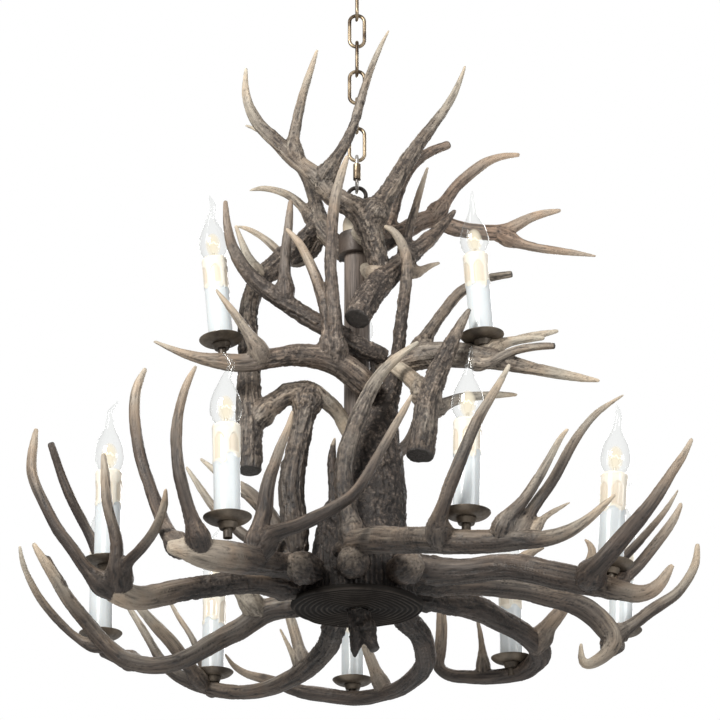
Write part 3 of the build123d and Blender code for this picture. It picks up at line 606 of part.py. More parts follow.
with BuildPart() as antler_upper_rear:
    for rings in rings_of(ANTLER_UPPER_REAR):
        loft(sections=rings, ruled=True)
    with Locations(light_plane("upper_rear", SEAT_H).location):
        Cylinder(SEAT_R, SEAT_CLEAR, align=(Align.CENTER, Align.CENTER, Align.MIN), mode=Mode.SUBTRACT)
    with Locations(light_plane("upper_rear", NIPPLE_BOTTOM).location):
        Cylinder(NIPPLE_R, SEAT_CLEAR, align=(Align.CENTER, Align.CENTER, Align.MIN), mode=Mode.SUBTRACT)
    with Locations((0, 0, COLUMN_BOTTOM)):
        Cylinder(COLUMN_R, CUP_TOP - COLUMN_BOTTOM, align=(Align.CENTER, Align.CENTER, Align.MIN), mode=Mode.SUBTRACT)
antler_upper_rear.part.label = "antler_upper_rear"
export_step(antler_upper_rear.part, "parts/antler_upper_rear.step")


# ---------------------------------------------------------------- lights
with BuildPart() as dish_master:
    with BuildSketch(Plane.XZ):
        with BuildLine():
            Polyline((NIPPLE_R, -DISH_DEPTH), (14, -DISH_DEPTH))
            ThreePointArc((14, -DISH_DEPTH), (21.5, -5), (DISH_R, -0.8))
            Polyline((DISH_R, -0.8), (DISH_R, 0), (DISH_R - 1.4, 0))
            ThreePointArc((DISH_R - 1.4, 0), (20.6, -3.9), (14, -DISH_DEPTH + DISH_T))
            Polyline((14, -DISH_DEPTH + DISH_T), (NIPPLE_R, -DISH_DEPTH + DISH_T), (NIPPLE_R, -DISH_DEPTH))
        make_face()
    revolve(axis=Axis.Z)

with BuildPart() as cup_master:
    with BuildSketch(Plane.XZ):
        with BuildLine():
            Polyline((3.4, NIPPLE_TOP), (NIPPLE_R, NIPPLE_TOP), (NIPPLE_R, -DISH_DEPTH), (10.5, -DISH_DEPTH),
                     (11, -DISH_DEPTH - 1), (8.5, SEAT_H - 5), (NIPPLE_R, SEAT_H - 5), (NIPPLE_R, NIPPLE_BOTTOM),
                     (3.4, NIPPLE_BOTTOM), close=True)
        make_face()
    revolve(axis=Axis.Z)

with BuildPart() as sleeve_master:
    with BuildSketch(Plane.XZ):
        with BuildLine():
            Polyline((CANDLE_BORE, -DISH_DEPTH + DISH_T), (CANDLE_R, -DISH_DEPTH + DISH_T), (CANDLE_R, DRIP_FROM),
                     (CANDLE_R + 0.5, DRIP_FROM + 0.5), (CANDLE_R + 0.5, CANDLE_TOP - 5), (CANDLE_TOP_R, CANDLE_TOP - 4),
                     (CANDLE_TOP_R, CANDLE_TOP - 1), (CANDLE_TOP_R - 1, CANDLE_TOP), (CANDLE_BORE, CANDLE_TOP), close=True)
        make_face()
    revolve(axis=Axis.Z)
    for k in range(6):
        a = 60.0 * k + 15
        with BuildSketch(Plane.XY.offset(DRIP_FROM + 2 + 5 * ((k * 37) % 3))):
            with Locations(((CANDLE_R - 0.3) * cos(a * pi / 180), (CANDLE_R - 0.3) * sin(a * pi / 180))):
                Circle(1.6)
        extrude(until=None, amount=CANDLE_TOP - 4 - (DRIP_FROM + 2 + 5 * ((k * 37) % 3)))
    with BuildSketch(Plane.XY.offset(-DISH_DEPTH + DISH_T)):
        Circle(CANDLE_BORE)
    extrude(amount=CANDLE_TOP + DISH_DEPTH + 1, mode=Mode.SUBTRACT)

with BuildPart() as socket_master:
    with BuildSketch(Plane.XZ):
        with BuildLine():
            Polyline((NIPPLE_R, SOCKET_FROM), (SOCKET_R - 2, SOCKET_FROM), (SOCKET_R, SOCKET_FROM + 4), (SOCKET_R, SOCKET_TO),
                     (SOCKET_BORE, SOCKET_TO), (SOCKET_BORE, NIPPLE_TOP + 12), (NIPPLE_R, NIPPLE_TOP + 10), close=True)
        make_face()
    revolve(axis=Axis.Z)

with BuildPart() as bulb_master:
    with BuildSketch(Plane.XZ):
        with BuildLine():
            Polyline((0, SOCKET_TO - 22), (CAP_R - 3, SOCKET_TO - 22), (CAP_R, SOCKET_TO - 18), (CAP_R, SOCKET_TO + 1))
            Spline((CAP_R, SOCKET_TO + 1), (10.5, CANDLE_TOP + 2), (15.6, CANDLE_TOP + 10), (BULB_R, CANDLE_TOP + 18),
                   (16.6, CANDLE_TOP + 28), (13.2, CANDLE_TOP + 38), (8.6, CANDLE_TOP + 47), (5.2, CANDLE_TOP + 54))
            Polyline((5.2, CANDLE_TOP + 54), (4.1, CANDLE_TOP + 54))
            Spline((4.1, CANDLE_TOP + 54), (7.5, CANDLE_TOP + 46.6), (12.1, CANDLE_TOP + 37.6), (15.5, CANDLE_TOP + 27.8),
                   (BULB_R - 1.1, CANDLE_TOP + 18), (14.6, CANDLE_TOP + 10.6), (9.5, CANDLE_TOP + 3), (CAP_R - 1, SOCKET_TO + 1))
            Polyline((CAP_R - 1, SOCKET_TO + 1), (CAP_R - 1, SOCKET_TO - 2), (0, SOCKET_TO - 2), (0, SOCKET_TO - 22))
        make_face()
    revolve(axis=Axis.Z)

with BuildPart() as bobeches:
    for name, _, _, _ in LIGHTS:
        add(dish_master.part.moved(light_plane(name).location))
bobeches.part.label = "bobeches"
export_step(bobeches.part, "parts/bobeches.step")

with BuildPart() as candle_cups:
    for name, _, _, _ in LIGHTS:
        add(cup_master.part.moved(light_plane(name).location))
candle_cups.part.label = "candle_cups"
export_step(candle_cups.part, "parts/candle_cups.step")

with BuildPart() as candle_sleeves:
    for name, _, _, _ in LIGHTS:
        add(sleeve_master.part.moved(light_plane(name).location))
candle_sleeves.part.label = "candle_sleeves"
export_step(candle_sleeves.part, "parts/candle_sleeves.step")

with BuildPart() as lamp_sockets:
    for name, _, _, _ in LIGHTS:
        add(socket_master.part.moved(light_plane(name).location))
lamp_sockets.part.label = "lamp_sockets"
export_step(lamp_sockets.part, "parts/lamp_sockets.step")

# each lamp's tail leans its own way and closes the glass
for i, (name, _, _, bend) in enumerate(LIGHTS):
    here = light_plane(name)
    tail = [(0.0, 53.0, 5.6), (bend[0] * 0.35, 60.0, 4.6), (bend[0] * 0.8, 66.0, 4.0), (bend[0], 72.0, 3.6),
            (bend[0] + (bend[1] - bend[0]) * 0.5, 79.0, 2.7), (bend[1], 84.0, 1.7), (bend[1], 86.0, 0.8)]
    tail_rings = []
    for dx, dz, r in tail:
        at = Plane(origin=here.origin + here.x_dir * dx + here.z_dir * (CANDLE_TOP + dz), x_dir=here.x_dir, z_dir=here.z_dir)
        tail_rings.append(Face(Wire([Edge.make_circle(r, at)])))
    with BuildPart() as bulb:
        add(bulb_master.part.moved(here.location))
        loft(sections=tail_rings, ruled=True)
    bulb.part.label = "bulb_%02d" % (i + 1)
    export_step(bulb.part, "parts/bulb_%02d.step" % (i + 1))
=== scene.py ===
import bpy, math
import numpy as np
from mathutils import Vector, Matrix


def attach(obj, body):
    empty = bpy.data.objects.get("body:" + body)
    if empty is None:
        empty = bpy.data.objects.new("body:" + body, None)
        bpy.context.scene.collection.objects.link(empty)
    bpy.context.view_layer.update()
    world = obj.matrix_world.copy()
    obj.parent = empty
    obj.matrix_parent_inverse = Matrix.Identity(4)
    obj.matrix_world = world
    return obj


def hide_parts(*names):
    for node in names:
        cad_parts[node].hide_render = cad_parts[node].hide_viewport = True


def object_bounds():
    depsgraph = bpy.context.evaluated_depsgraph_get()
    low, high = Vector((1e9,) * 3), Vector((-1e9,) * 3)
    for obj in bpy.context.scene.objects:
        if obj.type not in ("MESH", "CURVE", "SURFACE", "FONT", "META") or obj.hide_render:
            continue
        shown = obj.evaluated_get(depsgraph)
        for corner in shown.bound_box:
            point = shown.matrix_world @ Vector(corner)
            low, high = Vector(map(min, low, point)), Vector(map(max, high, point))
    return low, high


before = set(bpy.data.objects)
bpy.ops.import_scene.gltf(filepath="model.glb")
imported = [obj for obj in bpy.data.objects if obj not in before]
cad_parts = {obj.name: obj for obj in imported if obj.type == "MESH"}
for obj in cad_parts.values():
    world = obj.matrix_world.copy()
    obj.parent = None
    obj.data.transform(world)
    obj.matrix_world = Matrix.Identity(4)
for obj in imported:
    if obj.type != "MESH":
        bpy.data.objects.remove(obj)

cad_lo, cad_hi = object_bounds()
CAD_LO, CAD_HI = np.array(cad_lo[:]), np.array(cad_hi[:])
scene = bpy.context.scene
col = scene.collection

# ------------------------------------------------------------------ skeletons, mm
# (kind, surface, [(x, y, z, radius)]); kind b beam, bc beam with a sawn end, t tine, c sawn tine
SKEL = {
    "antler_front_left": [
        ("b", "b", [(-40.3, -18.6, -845.2, 12.68), (-59.7, -30.9, -848, 14.92), (-81.7, -61.8, -854.5, 14.76), (-99.7, -100.5, -863.6, 15.12), (-117, -165.3, -881.4, 16.4), (-127.2, -225, -898.8, 17.63), (-142.1, -264, -909.4, 17.9), (-159.1, -280, -911.4, 16.75), (-176.7, -284, -908.3, 13.59), (-191.5, -283, -905.8, 9.42)]),
        ("t", "t", [(-181, -282, -907.6, 11.51), (-195.5, -262, -889.4, 9.72), (-209.9, -226, -855.5, 8.17), (-220.4, -210, -825.2, 7.6), (-232.2, -198, -791, 7.23), (-240.7, -190, -761, 7.06), (-246.4, -186, -726.3, 6.99), (-247.5, -184, -698, 6.58), (-243.7, -183, -678, 5.59), (-237.6, -182, -662.8, 3.36)]),
        ("t", "t", [(-161.9, -286, -910.1, 11.49), (-170, -300, -888.4, 8.55), (-177.3, -306, -866.3, 7.62), (-184.3, -310, -842.2, 7.11), (-189, -311, -815.8, 6.93), (-190.5, -310, -786.6, 6.65), (-188.1, -308, -759.8, 6.04), (-180.9, -305, -729.4, 4.69), (-172.7, -303, -710.1, 2.78)]),
        ("t", "t", [(-110.9, -155.5, -873.5, 12.08), (-107, -156.5, -841.5, 9.92), (-102.8, -155.6, -822.5, 9.51), (-100.5, -154.6, -802.2, 9.21), (-97.1, -152.7, -781.2, 8.35), (-90.9, -150.8, -760, 7.04), (-83.6, -148, -735.6, 5.61), (-77.1, -146.2, -716.8, 4.28), (-73.1, -145.3, -698.9, 2.48)]),
        ("t", "t", [(-108.8, -152.5, -872.6, 12.09), (-93.4, -162.5, -852.8, 9.89), (-69.1, -170.6, -845.1, 8.78), (-50.5, -171.8, -836.8, 8.23), (-31.9, -169.9, -826.3, 7.7), (-16.5, -166.2, -815.1, 7.17), (-3.3, -161.4, -802.3, 6.86), (17.9, -151.8, -765.7, 6.47), (36, -144, -728, 5.62), (54.4, -138, -691.8, 4.3), (61.9, -135, -675.3, 2.61)]),
    ],
    "antler_front_right": [
        ("b", "b", [(-21.7, -50.8, -834.1, 9.14), (-5.7, -76, -834.2, 13.6), (16.8, -114.8, -841.3, 15.09), (38.4, -166, -858.6, 15.35), (65.3, -230.1, -880.2, 14.98), (90.5, -272, -894.4, 14.73), (114, -286, -901.3, 13.6), (144.5, -302, -905.6, 12.47), (176, -310, -907.2, 10.36), (203.5, -314, -904.9, 8.8), (224.5, -315, -896.5, 7.25), (242.9, -315, -883.3, 5.71), (257.5, -314, -869.6, 4.37), (269.2, -313, -858.2, 2.09)]),
        ("t", "t", [(-3.4, -78.5, -836.2, 12.45), (-6.8, -71.7, -810, 11.95), (-12.6, -66.5, -782.8, 11.79), (-14.9, -63.1, -757.3, 11.84), (-11.6, -61.5, -714.9, 11.57), (1.2, -61.6, -675.2, 10.47), (17.5, -64.7, -636.3, 8.88), (42.1, -70.1, -605.7, 6.56), (70.4, -73.1, -584, 3.52)]),
        ("t", "t", [(87.2, -276, -895.7, 12.61), (85.7, -298, -881.1, 8.88), (90.8, -308, -865.9, 8.14), (96.1, -312, -850.7, 7.73), (110, -317, -816.9, 7.33), (126.3, -319, -778.3, 6.63), (145, -318, -745, 5.29), (161.7, -316, -713.8, 2.98)]),
        ("t", "t", [(148.5, -304, -905.2, 10.39), (155.6, -310, -885.3, 8.32), (169.7, -312, -868.9, 6.98), (184.3, -313, -848.6, 6.16), (199, -313, -823.2, 5.24), (213.7, -312, -795.9, 4), (222, -312, -785.2, 2.64)]),
        ("t", "t", [(163, -306, -905.8, 9.34), (180.2, -300, -875.2, 7.31), (192.2, -296, -856, 6.72), (207.2, -293, -833.8, 6.43), (222.5, -290, -804.2, 5.93), (237.7, -288, -778.8, 5.32), (252.6, -287, -760.1, 4.48), (267.4, -286, -747.5, 3.42), (285.6, -285, -735.1, 1.93)]),
        ("t", "t", [(179.5, -308, -903.2, 6.23), (194.3, -298, -880, 4.18), (208.7, -292, -868, 3.46), (223.6, -288, -858.2, 1.89)]),
    ],
    "antler_left": [
        ("b", "b", [(-42.7, -8.8, -860.2, 11.54), (-58.7, -16.1, -864.9, 14.38), (-78.9, -33.7, -870.5, 14.86), (-115.5, -61.5, -873.4, 14.16), (-158.4, -82.8, -883.7, 13.48), (-196.1, -102.1, -895.7, 13.37), (-223.4, -120, -908.3, 13.82), (-243.1, -133, -914.6, 14.3), (-260.8, -146, -911.8, 15.34), (-275.6, -154, -905.2, 12.58)]),
        ("t", "t", [(-268.1, -150, -910.8, 12.04), (-283.7, -162, -902, 9.06), (-297.9, -168, -889.1, 8.29), (-310.9, -172, -871, 7.65), (-327.3, -175, -849.6, 7.11), (-340.2, -177, -826.5, 6.58), (-352.6, -178, -801.9, 6.38), (-359.5, -177, -779, 6.3), (-359.4, -175, -755.7, 5.77), (-357.5, -172, -731.6, 3.56)]),
        ("t", "t", [(-261.4, -152, -909.1, 10.94), (-262.6, -172, -889.3, 8.28), (-261.7, -177, -872.4, 7.63), (-264.8, -180, -854.1, 7.1), (-271, -182, -832.9, 6.57), (-275.3, -183, -811.2, 6.15), (-277.4, -183, -789, 5.73), (-279.9, -183, -765.5, 3.65)]),
        ("t", "t", [(-259.4, -150, -909.6, 10.95), (-251.7, -172, -890.4, 7.41), (-240.2, -194, -885.1, 6.71), (-226.9, -226, -883, 6.32), (-210.2, -270, -875.1, 5.6), (-202.4, -292, -861.3, 4.83), (-200.5, -304, -850, 2.72)]),
        ("c", "t", [(-267.3, -136, -906.4, 9.9), (-280.4, -102, -877, 7.82), (-289.3, -88, -856, 7.32), (-298.5, -86, -832.8, 6.89), (-307.8, -88, -815.3, 6.56), (-319.3, -95, -794.9, 6.23), (-331.9, -98, -768.3, 5.9), (-341.3, -102, -743.6, 5.46), (-349, -106, -722, 4.9)]),
    ],
    "antler_left_rear": [
        ("b", "b", [(-26.9, 30.4, -864.8, 10.51), (-52.9, 52.8, -862.7, 12.94), (-76.7, 64.5, -862.8, 13.57), (-100.5, 71.6, -864.3, 14.19), (-117.1, 75.4, -871.8, 13.6), (-135.9, 76.9, -886, 12.99), (-163.9, 77.5, -900.6, 12.38), (-186.7, 71.2, -917, 11.28), (-214.3, 73.7, -929.3, 10.44), (-244.2, 75.9, -932, 10.21), (-274.5, 76, -923.5, 10.22), (-297.5, 74, -905.3, 10.01), (-319.1, 69, -880.8, 9.43), (-339, 62, -857.9, 8.73), (-354.4, 55, -835, 8.03), (-364.9, 50, -819.3, 6.85), (-374.3, 47, -806, 5.56), (-382.2, 44, -793.3, 3.55)]),
        ("t", "t", [(-295.5, 76, -909.5, 7.06), (-319.5, 82, -902.9, 5.9), (-336.5, 82, -891.9, 5.68), (-355.3, 80, -874.4, 5.57), (-375.4, 75, -850.8, 5.34), (-387.9, 70, -830.2, 4.75), (-397.6, 66, -807.7, 4.04), (-401.4, 63, -790.1, 2.74)]),
        ("c", "t", [(-343.4, 60, -853.1, 5.9), (-355.7, 54, -827.9, 5.2), (-366.8, 49, -807.2, 4.26)]),
        ("c", "t", [(-257.6, 80, -927.9, 9.41), (-279.7, 100, -916.1, 8.89), (-301.7, 114, -902.2, 9.54)]),
        ("t", "t", [(-112.3, 72.8, -870.1, 10.64), (-127.6, 65.9, -856.2, 10.64), (-140.7, 60.8, -843, 8.27), (-152.6, 57.6, -830.5, 4.73)]),
        ("t", "t", [(-67.2, 61.1, -863.9, 11.79), (-76.3, 77.4, -820.3, 11.92), (-92.9, 94.2, -765.7, 11.46), (-115.7, 108.6, -722.3, 10.48), (-142.8, 130.6, -691.1, 8.62), (-168.5, 143.4, -669.4, 6.2), (-194.2, 149.7, -645.9, 2.74)]),
        ("t", "t", [(-87.3, 76.4, -786.8, 9.57), (-127.1, 107.2, -766.4, 7.87), (-152.5, 122.7, -741.9, 7.32), (-176.9, 133.4, -713.6, 6.14), (-195.2, 139.7, -685.2, 4.94), (-211.5, 143.8, -659.3, 2.85)]),
    ],
    "antler_rear_left": [
        ("b", "b", [(-14, 38.3, -866, 11.7), (-27.3, 88.9, -878.8, 13.65), (-33.5, 121.1, -891.5, 14.36), (-45.8, 150.2, -900.4, 13.27), (-64.5, 184.5, -907.6, 12.18), (-89.6, 215.6, -913.4, 11.05), (-111.3, 238.9, -915.2, 10.14), (-137.7, 260, -913.9, 9.7), (-166.7, 282, -906.6, 9.78), (-197.8, 295, -895.3, 9.83), (-223.8, 302, -882.4, 9.1), (-245, 308, -864.3, 7.87), (-260.2, 314, -840.3, 6.38), (-275.6, 320, -813.3, 5.64), (-292.3, 325, -786.4, 4.64), (-303.5, 328, -768, 2.58)]),
        ("t", "t", [(-192.3, 288, -898.5, 8.8), (-212.2, 256, -879.1, 9.49), (-228.5, 248, -858.2, 9.24), (-248.9, 245, -835.8, 8), (-270.8, 243, -811.6, 6.02), (-286.4, 242, -792.3, 3.14)]),
        ("t", "t", [(-181.3, 296, -904.1, 7.55), (-188.4, 326, -885.5, 6.36), (-197.5, 342, -860, 5.64), (-211, 350, -821.8, 4.91), (-227, 354, -795.1, 4.15), (-240.9, 356, -771.5, 3.38), (-247.7, 357, -757.6, 2.09)]),
        ("t", "t", [(-62, 180.3, -906.9, 8.51), (-68.4, 188.7, -886.8, 7.82), (-73.7, 195, -867.3, 7.73), (-81.5, 203.3, -838, 7.16), (-90.7, 209.5, -807.7, 3.73)]),
        ("t", "t", [(-68.3, 188.7, -908.3, 6.09), (-75.6, 184.7, -893, 3.78), (-84.2, 180.7, -876.5, 3.42), (-94.1, 176.7, -857.4, 2.2)]),
    ],
    "antler_rear": [
        ("b", "b", [(43.3, 38.6, -863.5, 11.71), (60.6, 89.1, -873.8, 14.25), (75.5, 121.1, -881.5, 14.14), (82.2, 153.5, -893.2, 13.29), (81.8, 191, -900.1, 12.82), (69.2, 233.7, -904.6, 11.74), (51.3, 275.9, -905.7, 10.64), (23.3, 314, -904.4, 10.12), (-3.4, 336, -901.4, 9.94), (-39.6, 345, -894.7, 9.97), (-72.9, 345, -889.5, 9.59), (-93.4, 342, -883.1, 8.44), (-113.8, 338, -876.3, 6.9), (-136.6, 332, -872, 5.75), (-155.8, 328, -862.1, 4.47), (-168.3, 324, -846.6, 2.3)]),
        ("t", "t", [(37.8, 302, -903.8, 9.46), (29, 299, -889, 8.21), (20.2, 297, -868.8, 7.97), (12.7, 296, -849.4, 7.1), (6.3, 295, -834, 3.81)]),
    ],
    "antler_rear_right": [
        ("b", "b", [(59.6, 30, -862.5, 10.51), (81, 47.9, -861.8, 11.74), (100.5, 67.3, -858.7, 12.41), (119.5, 88.1, -854.3, 14.28), (143.5, 114.3, -849.9, 16.21), (167.8, 141.4, -853.4, 14.52), (192.3, 167.8, -858.8, 13.16), (216.4, 200, -865.8, 13.89), (226.7, 228, -873, 14.25), (219.8, 258, -879.8, 12.49), (205.8, 276, -883.8, 11.29), (182.5, 288, -885.6, 10.07), (158.8, 295, -885.3, 9.46), (134.9, 298, -883.7, 8.84), (116.2, 298, -880.9, 8.34), (103.7, 297, -871.4, 7.97), (104.5, 296, -856, 7.98), (107.2, 293, -832.6, 7.99), (107.5, 290, -803.3, 7.12), (105.9, 288, -775.2, 3.83)]),
        ("t", "t", [(220.5, 208, -871.1, 11.09), (232.9, 190, -853.4, 10.19), (245, 178, -840.5, 9.56), (258.3, 168, -825.8, 7.34), (269.2, 160, -810.4, 3.67)]),
        ("t", "t", [(160.2, 295, -883.7, 8.2), (159.3, 295, -865.4, 6.32), (158, 294, -840.8, 4.56), (153.8, 292, -814.4, 3.18), (150.2, 291, -799.5, 1.91)]),
    ],
    "antler_right_rear": [
        ("b", "b", [(59.1, 3.3, -857.6, 10.43), (97, 25.3, -849.4, 12.85), (132.8, 41.9, -843.5, 12.93), (168.7, 54.4, -842.6, 12.62), (200.9, 64.5, -844.3, 12.66), (232.9, 70.8, -850.5, 13.03), (264.6, 74, -859.9, 13.97), (283.8, 75, -874.4, 14.19), (296.7, 75, -891.5, 13.57), (300.2, 74, -905.3, 11.77), (292.5, 72, -918.6, 8.93), (277.8, 70, -929.5, 7.74), (267, 68, -931.9, 6.09), (263.1, 67, -924.3, 4.92), (262.9, 66, -908.8, 2.7)]),
        ("t", "t", [(295.9, 76, -901, 10.61), (309.8, 82, -890.7, 8.28), (328.6, 88, -877.2, 7.83), (354.3, 96, -856.3, 7.75), (380, 104, -837.5, 7.19), (397.9, 109, -815.8, 6.26), (409.2, 113, -793.1, 5.68), (413, 115, -770.7, 3.64)]),
        ("c", "t", [(296.1, 78, -900.4, 9.44), (302.8, 100, -901.3, 9.5), (312.8, 126, -892.5, 9.59)]),
    ],
    "antler_right": [
        ("b", "b", [(47, -38, -846.7, 13.74), (57.1, -43.9, -848.7, 18.29), (77.7, -43.1, -853.2, 15.99), (123, -51.4, -857.1, 15.37), (161.8, -70.9, -858.6, 15.27), (190.8, -88.2, -866.7, 15.4), (219.2, -107.1, -879.5, 16.17), (247.1, -126, -891.9, 16.37), (274.6, -142, -904.8, 13.51), (295.4, -152, -913.9, 11.37), (313.4, -160, -917.4, 9.59), (327.6, -166, -910.7, 7.62), (336.4, -170, -899.8, 5.99), (342.4, -173, -891.3, 3.81)]),
        ("t", "t", [(254.2, -140, -896.1, 13.2), (261.6, -170, -890.9, 11.34), (272, -180, -881.6, 10.88), (286.7, -186, -865.3, 10.23), (309.3, -190, -839.8, 8.94), (329.2, -192, -814.2, 7.66), (346.6, -193, -788, 6.37), (359.3, -193, -769.2, 5.06), (369, -193, -751, 3.09)]),
        ("t", "t", [(282.6, -138, -904.7, 8.8), (299.1, -114, -883.2, 7.67), (314.4, -102, -867, 7.16), (329.3, -96, -848, 6.86), (342.8, -93, -830.4, 6.54), (357.2, -92, -810.5, 5.66), (367.3, -91, -790.9, 3.4)]),
        ("t", "t", [(270.8, -126, -896.3, 8.84), (284.3, -88, -867.8, 6.74), (309.5, -72, -840, 5.56), (335.3, -66, -810.4, 4.9), (355.5, -64, -785, 3.89), (368.8, -63, -763.4, 1.84)]),
        ("t", "t", [(254.6, -114, -883.2, 8.89), (262.2, -100, -861.1, 6.27), (263.5, -98, -845.1, 4.72), (257.2, -97, -835.1, 2.36)]),
        ("t", "t", [(182.5, -84.4, -857.1, 6.76), (196.8, -78.2, -844.4, 3.73), (210.8, -75.2, -837.5, 2.49)]),
    ],
    "antler_mid_left": [
        ("bc", "b", [(-49.6, 28.2, -385.6, 12.4), (-72.8, 21, -413.7, 12.33), (-99.3, 12.8, -443.3, 13.48), (-118.2, 3.5, -469.1, 13.4), (-129.3, -8.9, -505.3, 12.08), (-130.6, -20.4, -547.2, 12.58), (-128.3, -30.2, -590.2, 13.66), (-127.2, -37.9, -635.6, 15.9), (-126.3, -43.7, -675.7, 16.37), (-124.4, -48.6, -708.8, 15.69), (-125, -52.4, -736.2, 14.46)]),
        ("t", "b", [(-120.5, -44.2, -674.7, 11.69), (-104.5, -42, -652.4, 11.74), (-85.9, -39.6, -638.8, 12.35), (-69.5, -38, -631.2, 12.96), (-55.4, -36.2, -631.1, 13.56), (-40.1, -31.7, -638.2, 10.62), (-24.8, -23.9, -649.1, 10.04), (-15.4, -15.2, -663.4, 9.45), (-7.1, -5.9, -680, 8.28)]),
        ("t", "b", [(-56.6, -36, -629.7, 12.97), (-62.2, -38, -664.7, 13.49), (-68.9, -38, -702.3, 14.01), (-74.4, -37.2, -739.3, 14.53), (-74.1, -35.4, -769.4, 15.06), (-70.4, -33.1, -799.2, 15.01), (-66.7, -31.7, -825.4, 12.66)]),
        ("t", "t", [(-118.1, 1.5, -468.7, 9.74), (-127.9, -5.2, -453.1, 6.82), (-137.9, -7.2, -429.8, 5.37), (-148.1, -9.3, -401.7, 3.06)]),
    ],
    "antler_upper_left_rear": [
        ("b", "b", [(-14.7, 6.4, -435.5, 9.8), (-28.3, 15.5, -412.2, 12.32), (-43.4, 25.4, -385.6, 13.01), (-49.9, 34.7, -354.9, 9.36), (-57.7, 42, -321.9, 9.04), (-68.2, 49.8, -294.1, 8.08), (-85.1, 58.3, -265.5, 6.86), (-108.5, 67.3, -240.8, 5.36), (-126.9, 73.3, -224.7, 3.84), (-142.5, 76.6, -216.4, 2.31)]),
        ("t", "t", [(-45.9, 27.8, -380.3, 9.93), (-56.1, 35.4, -368.4, 7.85), (-67.6, 43.3, -349.9, 7.01), (-83.6, 51.8, -330.4, 6.04), (-99.7, 58, -319.5, 5.3), (-120.8, 64.5, -312.7, 4.05), (-135.1, 67.9, -313.7, 2.28)]),
        ("t", "t", [(-48.3, 30.2, -395.7, 9.92), (-73.1, 42, -425.7, 7.44), (-97.2, 53.6, -406.6, 5.98), (-109.1, 59.2, -391.5, 5.5), (-125.2, 65, -376.1, 4.52), (-141, 69.4, -365.8, 3.52), (-151.2, 72.2, -362.2, 2.02)]),
    ],
    "antler_crown": [
        ("b", "b", [(32.6, -24.3, -475.2, 10.87), (26.6, -28.4, -458.5, 13.29), (19.4, -32.5, -435.1, 15.13), (12.1, -36.4, -414.1, 16.49), (2.4, -38.4, -396.2, 15.79), (-14.6, -39.9, -384.8, 13.98), (-31.6, -40.6, -373, 12.78), (-47.6, -41.8, -353.1, 11.95), (-64.8, -41.6, -336.7, 11), (-80.8, -41.5, -321.5, 10.78), (-99.5, -40.3, -300.2, 9.83), (-117, -39.4, -281.7, 8.99), (-130.3, -39.1, -259.3, 7.66), (-137.8, -39.5, -231.5, 5.7), (-138.1, -39.6, -199, 2.86)]),
        ("t", "t", [(-70.9, -41.8, -331.3, 9.78), (-77.8, -43.7, -308.9, 8.09), (-75, -45.9, -282.4, 7.37), (-69.7, -47.5, -254, 6.53), (-63.1, -49.1, -226.9, 5.56), (-55.8, -49.9, -200.6, 4.34), (-49.7, -50.5, -178.9, 2.49)]),
        ("t", "t", [(-42.6, -42.3, -360.2, 10.97), (-30.5, -50.3, -338.4, 8.53), (-15.9, -56.3, -315.4, 7.57), (-3.7, -59.9, -287.1, 6.73), (4.9, -61.6, -254.8, 6.14), (16, -62.2, -215.9, 4.93), (27.2, -61.7, -184.6, 3.96), (39.1, -61, -157.2, 2.24)]),
        ("t", "b", [(14.5, -33.7, -426.2, 13.33), (7.3, -19.3, -412.6, 10.97), (3.7, -7.9, -403, 9.8)]),
        ("t", "t", [(10.9, -36.5, -408.8, 15.77), (25.6, -33, -386.8, 14), (40.4, -29.1, -361.7, 12.23), (52.8, -24.9, -336.3, 11.3), (67.9, -21.1, -308.2, 10.12), (83, -18, -282.9, 8.67), (99.5, -14.8, -257.4, 7.22), (114.9, -11.9, -231.9, 5.75), (126.7, -9.7, -205.1, 4.26), (136, -7.8, -177.5, 2.27)]),
    ],
    "antler_upper_stub": [
        ("bc", "c", [(122.4, 40, -355.7, 3.5), (112, 32.6, -372.5, 6.22), (99, 23.8, -391.9, 8.66), (82.4, 12.3, -414.5, 10.58), (66, -0.1, -435.9, 12.22), (49.8, -13.9, -457.1, 13.96), (32.5, -30.7, -482.1, 15.65), (16.7, -47.6, -509.5, 16.71), (5.9, -59.9, -533.3, 16.95), (0, -68.4, -551.2, 15.92)]),
        ("t", "b", [(34.9, -30.4, -480.7, 12.04), (20.6, -18.7, -468.7, 10.89), (10.9, -9.6, -460.5, 9.72)]),
        ("t", "t", [(59.7, -4.9, -444.9, 9.75), (60.7, 3.1, -416.8, 6.87), (69.2, 10.2, -377.9, 5.93), (78.3, 15.6, -340.8, 4.85), (88.1, 21.1, -305.9, 2.5)]),
        ("t", "t", [(54.7, -7.5, -456.8, 9.73), (73.3, 7, -454.8, 6.6), (88.4, 17.3, -443.3, 4.42), (101, 24.1, -435.4, 2.46)]),
    ],
    "antler_upper_right_rear": [
        ("b", "b", [(15.9, 8.5, -434.6, 9.81), (28.3, 17.6, -416.7, 11.09), (47.1, 30.1, -395.7, 11.78), (69.9, 45.8, -374.4, 11.86), (92.9, 59.4, -358.1, 12.31), (115.9, 70.4, -362.5, 11.59), (142.7, 80.9, -364.4, 10.1), (167.1, 88.3, -363, 10.63), (186.5, 94, -358.1, 10.15), (216.5, 99.6, -339.2, 7.13), (238.8, 103.8, -328.7, 5.62), (259, 106.9, -322.9, 3.33)]),
        ("t", "t", [(178.6, 90.8, -362.5, 9.5), (205.7, 101.5, -371.4, 7.11), (239.1, 109.8, -375.9, 6.1), (274, 118, -377, 4.84), (303.8, 124, -379.1, 2.3)]),
        ("t", "t", [(94.2, 59.5, -358, 11.31), (111.3, 69.9, -329.1, 8.85), (124.5, 77.4, -305.6, 8.01), (144.3, 85, -281.8, 7.66), (164.1, 90.1, -263.4, 7.05), (183.8, 94.9, -252.3, 5.53), (208, 99.5, -246.8, 3.35)]),
